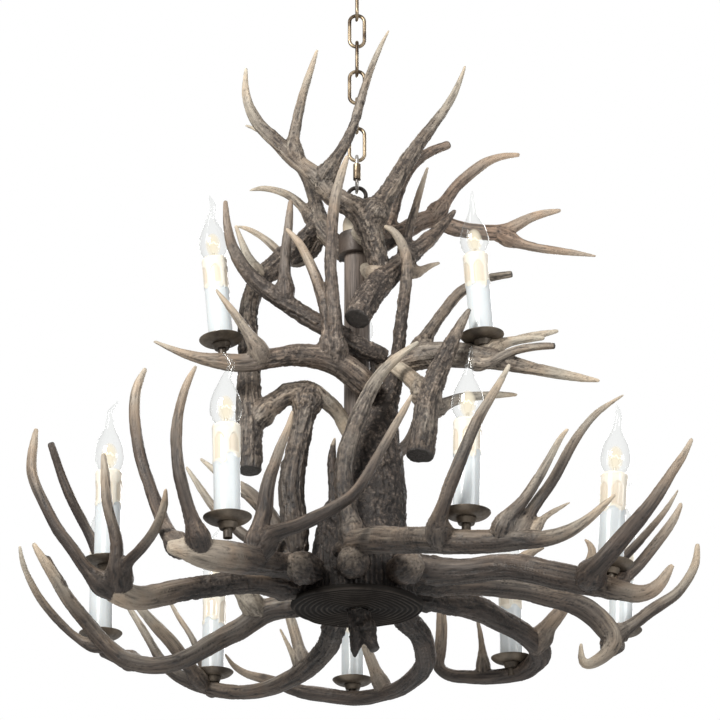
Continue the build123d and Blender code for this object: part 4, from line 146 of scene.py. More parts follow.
        ("c", "t", [(33.4, 24.4, -409.4, 9.88), (43.6, 34, -364.9, 8.72), (57.8, 39.9, -313.2, 8.16), (73.2, 45, -286.6, 7.57), (92.5, 50.7, -268.1, 6.97), (117, 57.8, -253.7, 5.85)]),
    ],
    "antler_upper_right": [
        ("b", "b", [(25, -14.6, -596.6, 10.73), (41.7, -22.3, -592.1, 13.69), (58.3, -27.7, -587.9, 15.45), (80.7, -35.7, -584.8, 16.02), (104, -45.9, -586.6, 15.96), (127.1, -59.1, -593.4, 15.29), (146.3, -71.6, -601.2, 14.4), (164.5, -79.8, -609.1, 12.13), (181.5, -84.5, -615.4, 9.89), (206.7, -88.2, -623.3, 7.9), (235.4, -90.1, -630.3, 6.96), (260.6, -91, -635.8, 5.21), (280.1, -92, -639.5, 2.66)]),
        ("t", "t", [(148.7, -71.5, -599.9, 10.54), (168, -67, -584, 7.29), (186.1, -62.6, -576.3, 6.12), (204.1, -59.3, -572.4, 5.43), (219.6, -57.2, -570.8, 3.31)]),
        ("t", "t", [(144.3, -67.8, -595.8, 10.56), (169.1, -49.2, -577.7, 5.91), (193.6, -39.6, -564.6, 5.7), (218, -34.3, -556.4, 5.24), (239.3, -30.1, -550.1, 3.1)]),
        ("c", "t", [(134.8, -66.3, -602.8, 9.38), (150, -87.1, -615.3, 6.51), (166, -93.6, -610.5, 5.81), (185.8, -97.3, -603.2, 5.57), (207.8, -99.1, -599.6, 5.11), (229.7, -101.1, -599.5, 4.41)]),
        ("c", "t", [(72.4, -33.1, -585, 11.87), (82.4, -24.3, -556.7, 8.6), (94.7, -22.6, -535.1, 7.79), (108.2, -22.9, -515.5, 7.21), (119.2, -23.5, -501.3, 7.22), (131.3, -25.2, -491.5, 6.99), (145.8, -27, -483.7, 6.15), (160.3, -29, -479.4, 5.66), (186.8, -30.9, -475.6, 4.82)]),
    ],
    "antler_mid_right": [
        ("bc", "b", [(131.8, -103.3, -553.2, 3.03), (122.4, -99.7, -568.8, 6.41), (112.9, -95.3, -587.2, 8.85), (103.5, -90, -606.4, 11.17), (92.9, -84.1, -629.1, 13.36), (84.7, -80, -652.6, 14.5), (79.8, -79.5, -677.3, 15.03), (76, -81.6, -704.1, 15.89), (72.2, -84.5, -729.7, 16.96)]),
        ("t", "b", [(84.7, -77.3, -657.7, 12.76), (70.3, -56.9, -629.3, 10.55), (57.8, -42.2, -610.6, 10.03), (46.3, -29.2, -596.2, 9.5)]),
        ("t", "t", [(81.1, -77.5, -670.3, 11.58), (97.8, -63.2, -659.6, 8.15), (115.8, -54.2, -647.8, 7.02), (138.5, -47.7, -640.8, 5.87), (165.9, -41.4, -636.7, 4.94), (187.3, -37.8, -634.9, 2.83)]),
    ],
    "antler_mid_long": [
        ("b", "b", [(20.1, -31.6, -631.8, 15.35), (10.6, -37.4, -623.9, 17.11), (-5.9, -44.5, -610.3, 16.51), (-24.7, -52.4, -600.8, 15.31), (-45.9, -59.4, -596.1, 14.7), (-66.9, -65.3, -596, 13.62), (-90.2, -71.4, -601.1, 12.64), (-115.5, -78, -608.9, 12.02), (-136.3, -82.7, -613.4, 11.41), (-157, -86.9, -613.3, 10.24), (-176.7, -89.5, -611.2, 8.14), (-194.1, -91.3, -607.6, 6.39), (-215.1, -93.1, -600.2, 4.65), (-235.6, -95.1, -591.5, 2.33)]),
        ("t", "t", [(-110.9, -77.3, -607.4, 10.51), (-116.4, -90.3, -597.7, 8.38), (-125.7, -96.7, -584, 6.98), (-137.5, -100.2, -566.4, 5.83), (-150.6, -102.8, -548.5, 4.67), (-164.8, -105.5, -530.5, 2.57)]),
        ("t", "t", [(-31.8, -55.3, -598.2, 12.95), (-31.8, -63.9, -573.7, 10.83), (-34.2, -68.1, -549.8, 9.44), (-40.2, -70.3, -527.5, 8.28), (-47.4, -71.5, -502.1, 7.59), (-58.3, -71.5, -474.6, 6.43), (-69.2, -71.5, -453.6, 5.25), (-83.7, -71.1, -435.5, 2.99)]),
        ("t", "t", [(-27.1, -53.9, -600.2, 12.95), (-25.9, -66, -574.6, 10.36), (-27.1, -76.2, -543.1, 8.95), (-29.5, -79.5, -512.2, 8.27), (-31.4, -81.1, -483.1, 7.82), (-30.3, -82.1, -452, 7.85), (-28.7, -82.1, -421.6, 7.64), (-25.2, -82.3, -395.1, 7.07), (-19.2, -81.6, -367.9, 5.77), (-11.7, -81, -343.3, 3.38)]),
    ],
    "antler_mid_dark": [
        ("b", "b", [(33.3, -24.2, -582.5, 10.72), (23.8, -28.6, -579.3, 11.9), (5.9, -34.8, -574.1, 12.48), (-10.7, -39.1, -565.6, 12.47), (-27.3, -42.6, -555.5, 11.88), (-44, -44.7, -547.3, 11.89), (-60.7, -46.4, -537.7, 11.42), (-79.8, -48.7, -525.7, 10.95), (-97.7, -52.3, -514.3, 10.72), (-113.2, -55.5, -503.3, 10.49), (-128.7, -62, -489.9, 9.77), (-141.2, -68, -473, 8.58), (-150.3, -73.5, -453.2, 7.16), (-155.3, -77.2, -429.9, 5.5), (-157.6, -79.2, -402.9, 3.6)]),
        ("t", "t", [(-86.9, -49.7, -520.9, 10.12), (-85.9, -51.7, -502.2, 8.35), (-86.1, -52.6, -480.3, 7.78), (-85.2, -53.7, -454.4, 7.2), (-83.1, -53.9, -427.9, 6.26), (-81.5, -54.1, -407.9, 5.31), (-80.4, -54.2, -389.9, 3.63)]),
    ],
    "antler_upper_rear": [
        ("b", "b", [(13.3, 16.7, -557.5, 14.52), (11, 49.4, -570.2, 17.08), (8.6, 97.5, -582.4, 17.92), (6.3, 145.1, -591.6, 17.52), (5.1, 184, -603.4, 16.43), (11.5, 219.3, -611.7, 14.67), (27.1, 251.8, -607.8, 12.24), (48.1, 277.9, -592.4, 9.75), (68.1, 294, -566.8, 7.86), (79.1, 302, -531.3, 6.06), (83.4, 304, -502.1, 3.31)]),
        ("t", "t", [(7.5, 120.4, -578.5, 9.96), (21.3, 143, -574.9, 8.15), (36.7, 167.2, -554.3, 7.09), (46, 184.2, -519.9, 6.13), (50.1, 192.6, -483.1, 4.89), (47.8, 196.8, -450.5, 2.58)]),
        ("t", "t", [(8.6, 88.3, -575.4, 8.63), (-3.7, 115.8, -564.3, 7.47), (-6.3, 140.6, -535.2, 6.29), (-3.8, 156, -498.6, 5.08), (1.3, 162.6, -465.3, 2.55)]),
    ],
    "trunk": [
        ("b", "b", [(6.9, 0.1, -877.9, 61.19), (6.9, 0.1, -857.4, 61.35), (7, 0.1, -834.3, 60.38), (7, 0.1, -808.7, 58.25), (8.2, -1.9, -783.5, 52.57), (15.2, -3.6, -756.9, 44.52), (20, -5.3, -730.1, 37.61), (21.2, -7.1, -703.2, 33.59), (22.5, -9, -676.2, 28.37), (28.4, -12.4, -649.6, 21.33), (36.8, -17.3, -631.1, 15.42), (43.9, -22.1, -610, 10.69), (48.8, -27, -578.6, 8.69), (52.5, -32.1, -543.1, 8.36), (56.3, -36.2, -509.7, 8.38), (60, -39.4, -480.8, 7.93), (59, -42.2, -457, 7.34), (51.8, -44.8, -436.9, 6.51), (43.4, -46.6, -425.7, 5.31), (33.8, -48.3, -420.5, 3.38)]),
        ("t", "t", [(-17.3, -33.5, -799.3, 10.39), (-24.9, -38.4, -766.8, 7.87), (-27.9, -38.1, -739.6, 6.97), (-29.2, -38, -711.1, 5.71), (-26.1, -38.3, -689.9, 2.57)]),
        ("t", "b", [(-5.7, -37.5, -846.6, 13.75), (-10.3, -51.3, -849.9, 14.25), (-12.5, -59.8, -851.4, 10.23)]),
    ],
    "finial": [
        ("b", "c", [(2.3, 0, -888.7, 14.99), (2.3, 0, -900.7, 13.81), (1.1, -2, -914.4, 10.91), (-1.1, -3, -927.8, 8.02), (-2.3, -4, -937.6, 5.72), (-2.3, -4, -943.5, 3.43)]),
        ("c", "c", [(4.6, 0, -897.1, 10.36), (10.3, -3.8, -912.6, 8.95), (16, -6.5, -926.4, 7.78), (20.6, -8.1, -937.6, 6.85)]),
    ],
}

# (name, base of the candle at the dish rim, axis, tail leans)
LIGHTS = [
    ("front_left", (-136.9, -271, -867.9), (-0.034, 0, 0.999), (7, -1.5)),
    ("front_right", (115.4, -279, -865.4), (0.028, 0, 1), (2, 3.2)),
    ("left", (-275.9, -141, -873.4), (-0.015, 0, 1), (-1, 7.5)),
    ("right", (280, -137, -874.7), (0.083, 0, 0.997), (1.5, -0.5)),
    ("left_rear", (-306.9, 118, -879.8), (-0.018, 0, 1), (3, -6)),
    ("right_rear", (316.6, 126, -872.6), (0.054, 0, 0.999), (2, 10)),
    ("rear_left", (-181.4, 286, -880.2), (0, 0, 1), (-4, 3)),
    ("rear_right", (194.4, 275, -865.1), (0, 0, 1), (5, -3)),
    ("rear", (-5.5, 341, -875.3), (0, 0, 1), (-5, 2)),
    ("upper_left", (-160.5, -57.4, -571.5), (-0.099, 0, 0.995), (4.5, 0.6)),
    ("upper_right", (146.8, -73.5, -574), (-0.055, 0, 0.998), (1, 2.2)),
    ("upper_rear", (5.1, 190.3, -577.2), (0, 0, 1), (-3, 4)),
]



# rounded burrs at the roots of the lower beams
for key, burr in (("antler_front_left", [(-46, -50, -858, 15), (-60, -66, -858, 19.5), (-68, -76, -858, 15)]),
                  ("antler_front_right", [(-4, -60, -852, 16), (-4, -80, -856, 20.5), (-4, -92, -858, 15)]),
                  ("antler_right", [(42, -52, -859, 15), (55, -68, -859, 19.5), (62, -78, -859, 15)])):
    SKEL[key].append(("b", "b", burr))

# ------------------------------------------------------------------ small numeric helpers
def hash3(i, j, k, seed):
    h = (i * 374761393 + j * 668265263 + k * 2147483647 + seed * 974634777) & 0xFFFFFFFF
    h = ((h ^ (h >> 13)) * 1274126177) & 0xFFFFFFFF
    h = (h ^ (h >> 16)) & 0xFFFFFFFF
    return (h & 0xFFFF) / 65535.0


def noise(p, seed=0):
    q = np.floor(p)
    f = p - q
    f = f * f * (3 - 2 * f)
    i, j, k = (q[:, a].astype(np.int64) for a in range(3))
    out = 0
    for a in (0, 1):
        for b in (0, 1):
            for c in (0, 1):
                w = (f[:, 0] if a else 1 - f[:, 0]) * (f[:, 1] if b else 1 - f[:, 1]) * (f[:, 2] if c else 1 - f[:, 2])
                out = out + w * hash3(i + a, j + b, k + c, seed)
    return out


def fbm(p, seed=0, octaves=3):
    out, amp, tot = 0, 1.0, 0.0
    for o in range(octaves):
        out = out + amp * noise(p * (2.03 ** o) + 17.3 * o, seed + o)
        tot += amp
        amp *= 0.5
    return out / tot


def natural_cubic(t, y, x):
    n = len(t)
    h = np.diff(t)
    a = np.zeros((n, n))
    b = np.zeros((n, y.shape[1]))
    a[0, 0] = a[-1, -1] = 1
    for i in range(1, n - 1):
        a[i, i - 1], a[i, i], a[i, i + 1] = h[i - 1], 2 * (h[i - 1] + h[i]), h[i]
        b[i] = 6 * ((y[i + 1] - y[i]) / h[i] - (y[i] - y[i - 1]) / h[i - 1])
    m = np.linalg.solve(a, b)
    k = np.clip(np.searchsorted(t, x, side="right") - 1, 0, n - 2)
    u, hh = (x - t[k])[:, None], h[k][:, None]
    return ((y[k + 1] - y[k]) / hh - hh * (2 * m[k] + m[k + 1]) / 6) * u + m[k] / 2 * u ** 2 + (m[k + 1] - m[k]) / (6 * hh) * u ** 3 + y[k]


def centre_line(pts, step):
    p = np.array([q[:3] for q in pts], float)
    r = np.array([q[3] for q in pts], float)
    t = np.r_[0, np.cumsum(np.sqrt(np.linalg.norm(np.diff(p, axis=0), axis=1)))]
    fine = np.linspace(0, t[-1], 600)
    q = natural_cubic(t, p, fine)
    length = np.r_[0, np.cumsum(np.linalg.norm(np.diff(q, axis=0), axis=1))]
    n = max(6, int(length[-1] / step))
    tt = np.interp(np.linspace(0, length[-1], n), length, fine)
    c = natural_cubic(t, p, tt)
    rr = np.interp(tt, t, r)
    for _ in range(3):
        rr[1:-1] = (rr[:-2] + 2 * rr[1:-1] + rr[2:]) / 4
    return c, rr, np.linspace(0, length[-1], n)


def frames_along(c):
    t = np.gradient(c, axis=0)
    t /= np.linalg.norm(t, axis=1)[:, None]
    u = np.zeros_like(t)
    ref = np.array([0, 0, 1.0]) if abs(t[0, 2]) < 0.8 else np.array([1.0, 0, 0])
    for i in range(len(c)):
        ref = ref - t[i] * ref.dot(t[i])
        ref /= np.linalg.norm(ref)
        u[i] = ref
    return t, u, np.cross(t, u)


def tube(c, r, rounded, seg=24):
    t, u, v = frames_along(c)
    cs, rs = list(c), list(r)
    uu, vv = list(u), list(v)
    if rounded:
        for k, w in ((0.35, 0.93), (0.62, 0.74), (0.82, 0.45)):
            cs.append(c[-1] + t[-1] * r[-1] * k); rs.append(r[-1] * w); uu.append(u[-1]); vv.append(v[-1])
    else:
        cs.append(c[-1] + t[-1] * 0.8); rs.append(r[-1] - 1.0); uu.append(u[-1]); vv.append(v[-1])
    cs, rs, uu, vv = map(np.array, (cs, rs, uu, vv))
    a = np.linspace(0, 2 * np.pi, seg, endpoint=False)
    ring = cs[:, None] + rs[:, None, None] * (np.cos(a)[None, :, None] * uu[:, None] + np.sin(a)[None, :, None] * vv[:, None])
    n = len(cs)
    verts = ring.reshape(-1, 3)
    faces = []
    for i in range(n - 1):
        for j in range(seg):
            k = (j + 1) % seg
            faces.append((i * seg + j, i * seg + k, (i + 1) * seg + k, (i + 1) * seg + j))
    faces.append(tuple(range(seg))[::-1])
    faces.append(tuple((n - 1) * seg + j for j in range(seg)))
    return verts, faces


def new_mesh(name, verts, faces, smooth=True):
    me = bpy.data.meshes.new(name)
    me.from_pydata([tuple(v) for v in verts], [], faces)
    me.update()
    if smooth:
        me.polygons.foreach_set("use_smooth", np.ones(len(me.polygons), bool))
    ob = bpy.data.objects.new(name, me)
    col.objects.link(ob)
    return ob


def coords(me):
    a = np.empty(len(me.vertices) * 3)
    me.vertices.foreach_get("co", a)
    return a.reshape(-1, 3)


def normals(me):
    a = np.empty(len(me.vertices) * 3, dtype=np.float32)
    me.vertex_normals.foreach_get("vector", a)
    return a.reshape(-1, 3).astype(float)


def put_attr(me, name, kind, data):
    at = me.attributes.new(name, kind, "POINT")
    at.data.foreach_set("vector" if kind == "FLOAT_VECTOR" else "value", np.ascontiguousarray(data, dtype=np.float32).ravel())


def grow(name, branches, body, material, voxel=1.55, seed=1, cut=None, drum=None):
    """One antler: tubes round every branch, joined by a voxel skin, then worn and grooved along the grain."""
    verts, faces, off = [], [], 0
    C, R, S, T, U, V, TIP, BARK, CUTE = [], [], [], [], [], [], [], [], []
    for bi, (kind, tex, pts) in enumerate(branches):
        c, r, s = centre_line(pts, 2.6)
        r = r - 0.35
        if bi and kind in ("t", "c"):      # webbed root where a tine leaves the beam
            r = r * (1 + 0.46 * np.exp(-((s - 16.0) / 12.5) ** 2))
        vv, ff = tube(c, r, kind in ("b", "t"), 40 if max(r) > 30 else 24)
        verts.append(vv)
        faces += [tuple(i + off for i in f) for f in ff]
        off += len(vv)
        t, u, v = frames_along(c)
        C.append(c); R.append(r); S.append(s + bi * 37.0); T.append(t); U.append(u); V.append(v)
        left = s[-1] - s
        TIP.append(np.clip(1 - left / 108.0, 0, 1) if kind in ("b", "t") else np.zeros(len(s)))
        base = {"b": 0.25, "t": 0.0, "c": 0.35}[tex]
        if kind in ("b", "bc") and tex == "b":
            base = {"antler_mid_left_detail": 0.62, "antler_mid_right_detail": 0.45, "antler_upper_stub_detail": 0.5, "trunk_detail": 0.6, "finial_detail": 0.6}.get(name, 0.13)
        BARK.append(np.full(len(s), base))
        CUTE.append(np.clip(1 - left / 3.0, 0, 1) if kind in ("bc", "c") else np.zeros(len(s)))
    ob = new_mesh(name + "_raw", np.vstack(verts) / 1000.0, faces)
    md = ob.modifiers.new("skin", "REMESH")
    md.mode = "VOXEL"
    md.voxel_size = voxel / 1000.0
    md.use_smooth_shade = True
    dg = bpy.context.evaluated_depsgraph_get()
    me = bpy.data.meshes.new_from_object(ob.evaluated_get(dg))
    bpy.data.objects.remove(ob)
    me.name = name
    P = coords(me) * 1000.0
    ne = len(me.edges)
    ed = np.empty(ne * 2, dtype=np.int64)
    me.edges.foreach_get("vertices", ed)
    ed = ed.reshape(-1, 2)
    deg = np.bincount(ed.ravel(), minlength=len(P))[:, None].clip(1)
    for w in (0.6, 0.6, 0.5, 0.5):
        acc = np.zeros_like(P)
        for d in range(3):
            acc[:, d] = np.bincount(ed[:, 0], P[ed[:, 1], d], len(P)) + np.bincount(ed[:, 1], P[ed[:, 0], d], len(P))
        P = P * (1 - w) + acc / deg * w
    C, R, S, T, U, V, TIP, BARK, CUTE = (np.concatenate(x) for x in (C, R, S, T, U, V, TIP, BARK, CUTE))
    near = np.empty(len(P), dtype=np.int64)
    for a in range(0, len(P), 4000):
        d = np.linalg.norm(P[a:a + 4000, None] - C[None], axis=2) - R[None]
        near[a:a + 4000] = d.argmin(1)
    rel = P - C[near]
    gu, gv = (rel * U[near]).sum(1), (rel * V[near]).sum(1)
    gs = S[near] + (rel * T[near]).sum(1)
    rad, tip, bark, cute = R[near], TIP[near], BARK[near], CUTE[near]
    tip = tip * np.where(P[:, 2] < -700, np.clip((np.hypot(P[:, 0], P[:, 1]) - 95) / 40, 0, 1), 1)
    me.vertices.foreach_set("co", (P / 1000.0).ravel())
    me.update()
    N = normals(me)
    # rough pearled patches where the antlers meet the trunk, smooth beams further out
    hub = np.exp(-((np.hypot(P[:, 0], P[:, 1]) / 105.0) ** 2))
    patch = fbm(P / 46.0, seed + 5)
    bark = np.clip(bark + 0.75 * hub + 1.5 * (patch - 0.56) * (1 - tip) * (bark > 0.05), 0, 1) * (1 - tip)
    g = np.stack([gu, gv, gs], 1)
    streak = fbm(g * np.array([0.55, 0.55, 0.035]), seed, 3)
    crack = 1 - np.abs(2 * fbm(g * np.array([0.30, 0.30, 0.016]), seed + 9, 2) - 1)
    crack = np.clip((crack - 0.90) / 0.10, 0, 1)
    pearl = fbm(P / 4.6, seed + 3, 2)
    lump = fbm(P / 24.0, seed + 7, 2) - 0.5
    amp = np.clip(rad / 12.0, 0.25, 1.15)
    groove = 1 - np.abs(2 * fbm(g * np.array([0.42, 0.42, 0.045]), seed + 21, 2) - 1)
    groove = np.clip((groove - 0.80) / 0.20, 0, 1)
    h = lump * 2.0 * amp + (streak - 0.5) * 1.9 * amp - crack * 1.2 * amp * (1 - 0.5 * tip) - groove * 1.5 * amp * np.clip(bark * 1.6, 0, 1) + (pearl - 0.5) * 3.6 * bark * amp
    if drum is not None:
        low = np.clip((drum - P[:, 2]) / 25.0, 0, 1)
        ang = np.arctan2(P[:, 1], P[:, 0])
        flute = np.sin(ang * 62 + 3 * noise(P / 40.0, 3)) * (0.6 + 0.8 * noise(np.stack([ang * 9, P[:, 2] / 60, ang * 0], 1), 8))
        h = h * (1 - 0.3 * low) + flute * 0.8 * low
        crack = np.clip(crack + low * np.clip(-flute, 0, 1) * 0.8, 0, 1)
    h = np.clip(h, -2.6, 1.1) * (1 - 0.85 * cute)
    if drum is None and P[:, 2].min() < -700:
        hubd = np.hypot(P[:, 0], P[:, 1])
        ring = np.exp(-((hubd - 96.0 - 14 * (noise(P / 60.0, seed) - 0.5)) / 6.5) ** 2) * (rad > 11) * (1 - tip)
        h = h + ring * (0.9 + 2.6 * fbm(P / 5.5, seed + 31, 2))
    P = P + N * h[:, None]
    P = np.clip(P / 1000.0, CAD_LO, CAD_HI)
    me.vertices.foreach_set("co", P.ravel())
    me.update()
    put_attr(me, "grain", "FLOAT_VECTOR", g / 1000.0)
    put_attr(me, "tipf", "FLOAT", tip)
    put_attr(me, "bark", "FLOAT", bark)
    put_attr(me, "sawn", "FLOAT", cute)
    # painted shade: downward-facing surfaces of the lower antlers are darkened in the colour, less towards the tips
    low = np.clip((-655.0 - P[:, 2] * 1000.0) / 90.0, 0, 1)
    put_attr(me, "underside_shade", "FLOAT", np.clip(0.76 - 0.6 * N[:, 2], 0, 1) * (1 - 0.80 * tip) * low)
    # the deep mask darkens the displaced-in cracks, grooves and pits and the low grain streaks: painted shade in the
    # recesses on top of the antler's own darker grain
    put_attr(me, "deep", "FLOAT", np.clip(0.60 * crack + np.clip(0.47 - streak, 0, 1) * 1.3 + 0.55 * groove * np.clip(bark * 1.6, 0, 1) + bark * np.clip(0.50 - pearl, 0, 1) * 3.0, 0, 1) * (1 - 0.6 * tip))
    out = bpy.data.objects.new(name, me)
    col.objects.link(out)
    me.materials.clear()
    me.materials.append(material)
    me.polygons.foreach_set("use_smooth", np.ones(len(me.polygons), bool))
    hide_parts(name.replace("_detail", ""))
    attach(out, body)
    return out


# ------------------------------------------------------------------ materials
def material(name):
    m = bpy.data.materials.new(name)
    m.use_nodes = True
    nt = m.node_tree
    bsdf = nt.nodes["Principled BSDF"]
    return m, nt, bsdf


def node(nt, kind, **kw):
    n = nt.nodes.new(kind)
    for k, v in kw.items():
        if k in n.inputs:
            n.inputs[k].default_value = v
        else:
            setattr(n, k, v)
    return n


def ramp(nt, fac, stops):
    r = nt.nodes.new("ShaderNodeValToRGB")
    nt.links.new(fac, r.inputs["Fac"])
    e = r.color_ramp.elements
    while len(e) < len(stops):
        e.new(0.5)
    for el, (pos, c) in zip(e, stops):
        el.position = pos
        el.color = (*c, 1) if len(c) == 3 else c
    return r.outputs["Color"]


def mix(nt, fac, a, b, how="MIX"):
    m = nt.nodes.new("ShaderNodeMix")
    m.data_type = "RGBA"
    m.blend_type = how
    for sock, val in ((m.inputs[0], fac), (m.inputs[6], a), (m.inputs[7], b)):
        if hasattr(val, "is_output"):
            nt.links.new(val, sock)
        else:
            sock.default_value = (*val, 1) if isinstance(val, tuple) else val
    return m.outputs[2]


def math_node(nt, op, a, b=0.0):
    m = nt.nodes.new("ShaderNodeMath")
    m.operation = op
    for sock, val in zip(m.inputs, (a, b)):
        if hasattr(val, "is_output"):
            nt.links.new(val, sock)
        else:
            sock.default_value = val
    return m.outputs[0]


def scaled(nt, vec, s):
    mp = nt.nodes.new("ShaderNodeMapping")
    nt.links.new(vec, mp.inputs["Vector"])
    mp.inputs["Scale"].default_value = s
    return mp.outputs["Vector"]


def noise_tex(nt, vec, scale, detail=4.0, rough=0.55):
    n = nt.nodes.new("ShaderNodeTexNoise")
    n.inputs["Scale"].default_value = scale
    n.inputs["Detail"].default_value = detail
    n.inputs["Roughness"].default_value = rough
    nt.links.new(vec, n.inputs["Vector"])
    return n.outputs["Fac"]


def bump(nt, bsdf, height, strength, distance):
    b = nt.nodes.new("ShaderNodeBump")
    b.inputs["Strength"].default_value = strength
    b.inputs["Distance"].default_value = distance
    nt.links.new(height, b.inputs["Height"])
    nt.links.new(b.outputs["Normal"], bsdf.inputs["Normal"])


def antler_material(name, light, dark, pale, tan=0.0):
    m, nt, bsdf = material(name)
    at = {k: node(nt, "ShaderNodeAttribute", attribute_name=k) for k in ("grain", "tipf", "bark", "sawn", "deep", "underside_shade")}
    g = at["grain"].outputs["Vector"]
    long_ = scaled(nt, g, (1.0, 1.0, 0.05))
    fine = scaled(nt, g, (1.0, 1.0, 0.12))
    obj = node(nt, "ShaderNodeTexCoord").outputs["Object"]
    n1 = noise_tex(nt, long_, 210.0, 5.0, 0.62)
    n2 = noise_tex(nt, fine, 900.0, 3.0, 0.6)
    n3 = noise_tex(nt, obj, 26.0, 3.0, 0.5)
    n4 = noise_tex(nt, obj, 260.0, 4.0, 0.65)
    c = ramp(nt, n1, [(0.30, dark), (0.46, tuple((a + b) / 2 for a, b in zip(dark, light))), (0.60, light), (0.78, pale)])
    c = mix(nt, math_node(nt, "MULTIPLY", at["tipf"].outputs["Fac"], 0.80), c, pale)
    warm = ramp(nt, n3, [(0.42, (1.0, 1.0, 1.0)), (0.62, (1.10, 0.96, 0.84)), (0.74, (0.86, 0.80, 0.77))])
    c = mix(nt, 0.75, c, warm, "MULTIPLY")
    rough_c = ramp(nt, n4, [(0.36, (0.018, 0.013, 0.010)), (0.50, (0.085, 0.062, 0.048)), (0.60, (0.24, 0.190, 0.150)), (0.72, (0.50, 0.43, 0.36))])
    c = mix(nt, math_node(nt, "MULTIPLY", at["bark"].outputs["Fac"], 0.85), c, rough_c)
    # painted shade in cracks, grooves and pits, together with the darker grain, from the deep mask
    c = mix(nt, math_node(nt, "MINIMUM", math_node(nt, "MULTIPLY", at["deep"].outputs["Fac"], 1.5), 0.92), c, (0.024, 0.017, 0.013))
    c = mix(nt, math_node(nt, "MULTIPLY", math_node(nt, "SUBTRACT", 0.52, n2), 0.9), c, (0.04, 0.03, 0.024))
    # painted shade: darkens the lower antlers' downward-facing surfaces
    c = mix(nt, math_node(nt, "MULTIPLY", at["underside_shade"].outputs["Fac"], 1.0), c, (0.20, 0.174, 0.162), "MULTIPLY")
    c = mix(nt, math_node(nt, "MULTIPLY", at["sawn"].outputs["Fac"], 0.9), c, (0.030, 0.026, 0.023))
    nt.links.new(c, bsdf.inputs["Base Color"])
    rr = ramp(nt, n1, [(0.3, (0.72,) * 3), (0.7, (0.42,) * 3)])
    nt.links.new(rr, bsdf.inputs["Roughness"])
    hsum = math_node(nt, "ADD", math_node(nt, "MULTIPLY", n1, 0.9), math_node(nt, "MULTIPLY", n2, 0.45))
    hsum = math_node(nt, "ADD", hsum, math_node(nt, "MULTIPLY", math_node(nt, "MULTIPLY", n4, at["bark"].outputs["Fac"]), 1.6))
    bump(nt, bsdf, hsum, 0.9, 0.0017)
    bsdf.inputs["Specular IOR Level"].default_value = 0.5
    return m


GREY = antler_material("antler_grey", (0.305, 0.264, 0.213), (0.082, 0.064, 0.051), (0.57, 0.515, 0.415))
BROWN = antler_material("antler_brown", (0.212, 0.171, 0.136), (0.044, 0.032, 0.025), (0.52, 0.450, 0.355))
TAN = antler_material("antler_tan", (0.330, 0.250, 0.190), (0.085, 0.058, 0.043), (0.50, 0.42, 0.33))
DARK = antler_material("antler_dark", (0.130, 0.106, 0.088), (0.028, 0.021, 0.017), (0.30, 0.25, 0.20))


def metal_material(name, base, dark, rough, metallic, scale=420.0, noise_amt=0.6, bumpd=0.00012):
    m, nt, bsdf = material(name)
    obj = node(nt, "ShaderNodeTexCoord").outputs["Object"]
    n1 = noise_tex(nt, obj, scale, 5.0, 0.6)
    n2 = noise_tex(nt, obj, scale * 0.15, 3.0, 0.5)
    c = ramp(nt, n2, [(0.36, dark), (0.56, base), (0.75, tuple(min(1.0, 1.25 * b) for b in base))])
    c = mix(nt, math_node(nt, "MULTIPLY", math_node(nt, "SUBTRACT", 0.6, n1), noise_amt), c, dark)
    nt.links.new(c, bsdf.inputs["Base Color"])
    rr = ramp(nt, n1, [(0.3, (min(1, rough + 0.18),) * 3), (0.7, (max(0.05, rough - 0.10),) * 3)])
    nt.links.new(rr, bsdf.inputs["Roughness"])
    bsdf.inputs["Metallic"].default_value = metallic
    bump(nt, bsdf, n1, 0.5, bumpd)
    return m


BRONZE = metal_material("antique_bronze", (0.33, 0.26, 0.175), (0.075, 0.052, 0.034), 0.36, 0.88)
STEEL = metal_material("worn_steel", (0.52, 0.50, 0.47), (0.20, 0.18, 0.16), 0.33, 0.95)
DISHM = metal_material("dark_bronze_dish", (0.125, 0.100, 0.074), (0.045, 0.035, 0.026), 0.46, 0.45, 300.0)
IRON = metal_material("dark_iron", (0.050, 0.040, 0.033), (0.018, 0.014, 0.012), 0.5, 0.35, 300.0)
COLLARM = metal_material("brown_collar", (0.062, 0.045, 0.034), (0.022, 0.016, 0.012), 0.52, 0.15, 260.0)


def disc_material():
    m, nt, bsdf = material("dark_growth_rings")
    at = node(nt, "ShaderNodeAttribute", attribute_name="deep")
    obj = node(nt, "ShaderNodeTexCoord").outputs["Object"]
    n1 = noise_tex(nt, obj, 150.0, 5.0, 0.6)
    c = ramp(nt, at.outputs["Fac"], [(0.0, (0.050, 0.042, 0.036)), (0.40, (0.012, 0.010, 0.008)), (1.0, (0.002, 0.002, 0.002))])
    n0 = noise_tex(nt, obj, 34.0, 3.0, 0.6)
    c = mix(nt, ramp(nt, n0, [(0.40, (0, 0, 0)), (0.62, (0.85, 0.85, 0.85))]), c, (0.008, 0.006, 0.005))
    c = mix(nt, math_node(nt, "MULTIPLY", n1, 0.35), c, (0.010, 0.008, 0.007))
    nt.links.new(c, bsdf.inputs["Base Color"])
    bsdf.inputs["Roughness"].default_value = 0.62
    bsdf.inputs["Specular IOR Level"].default_value = 0.08
    bump(nt, bsdf, n1, 0.6, 0.0005)
    return m


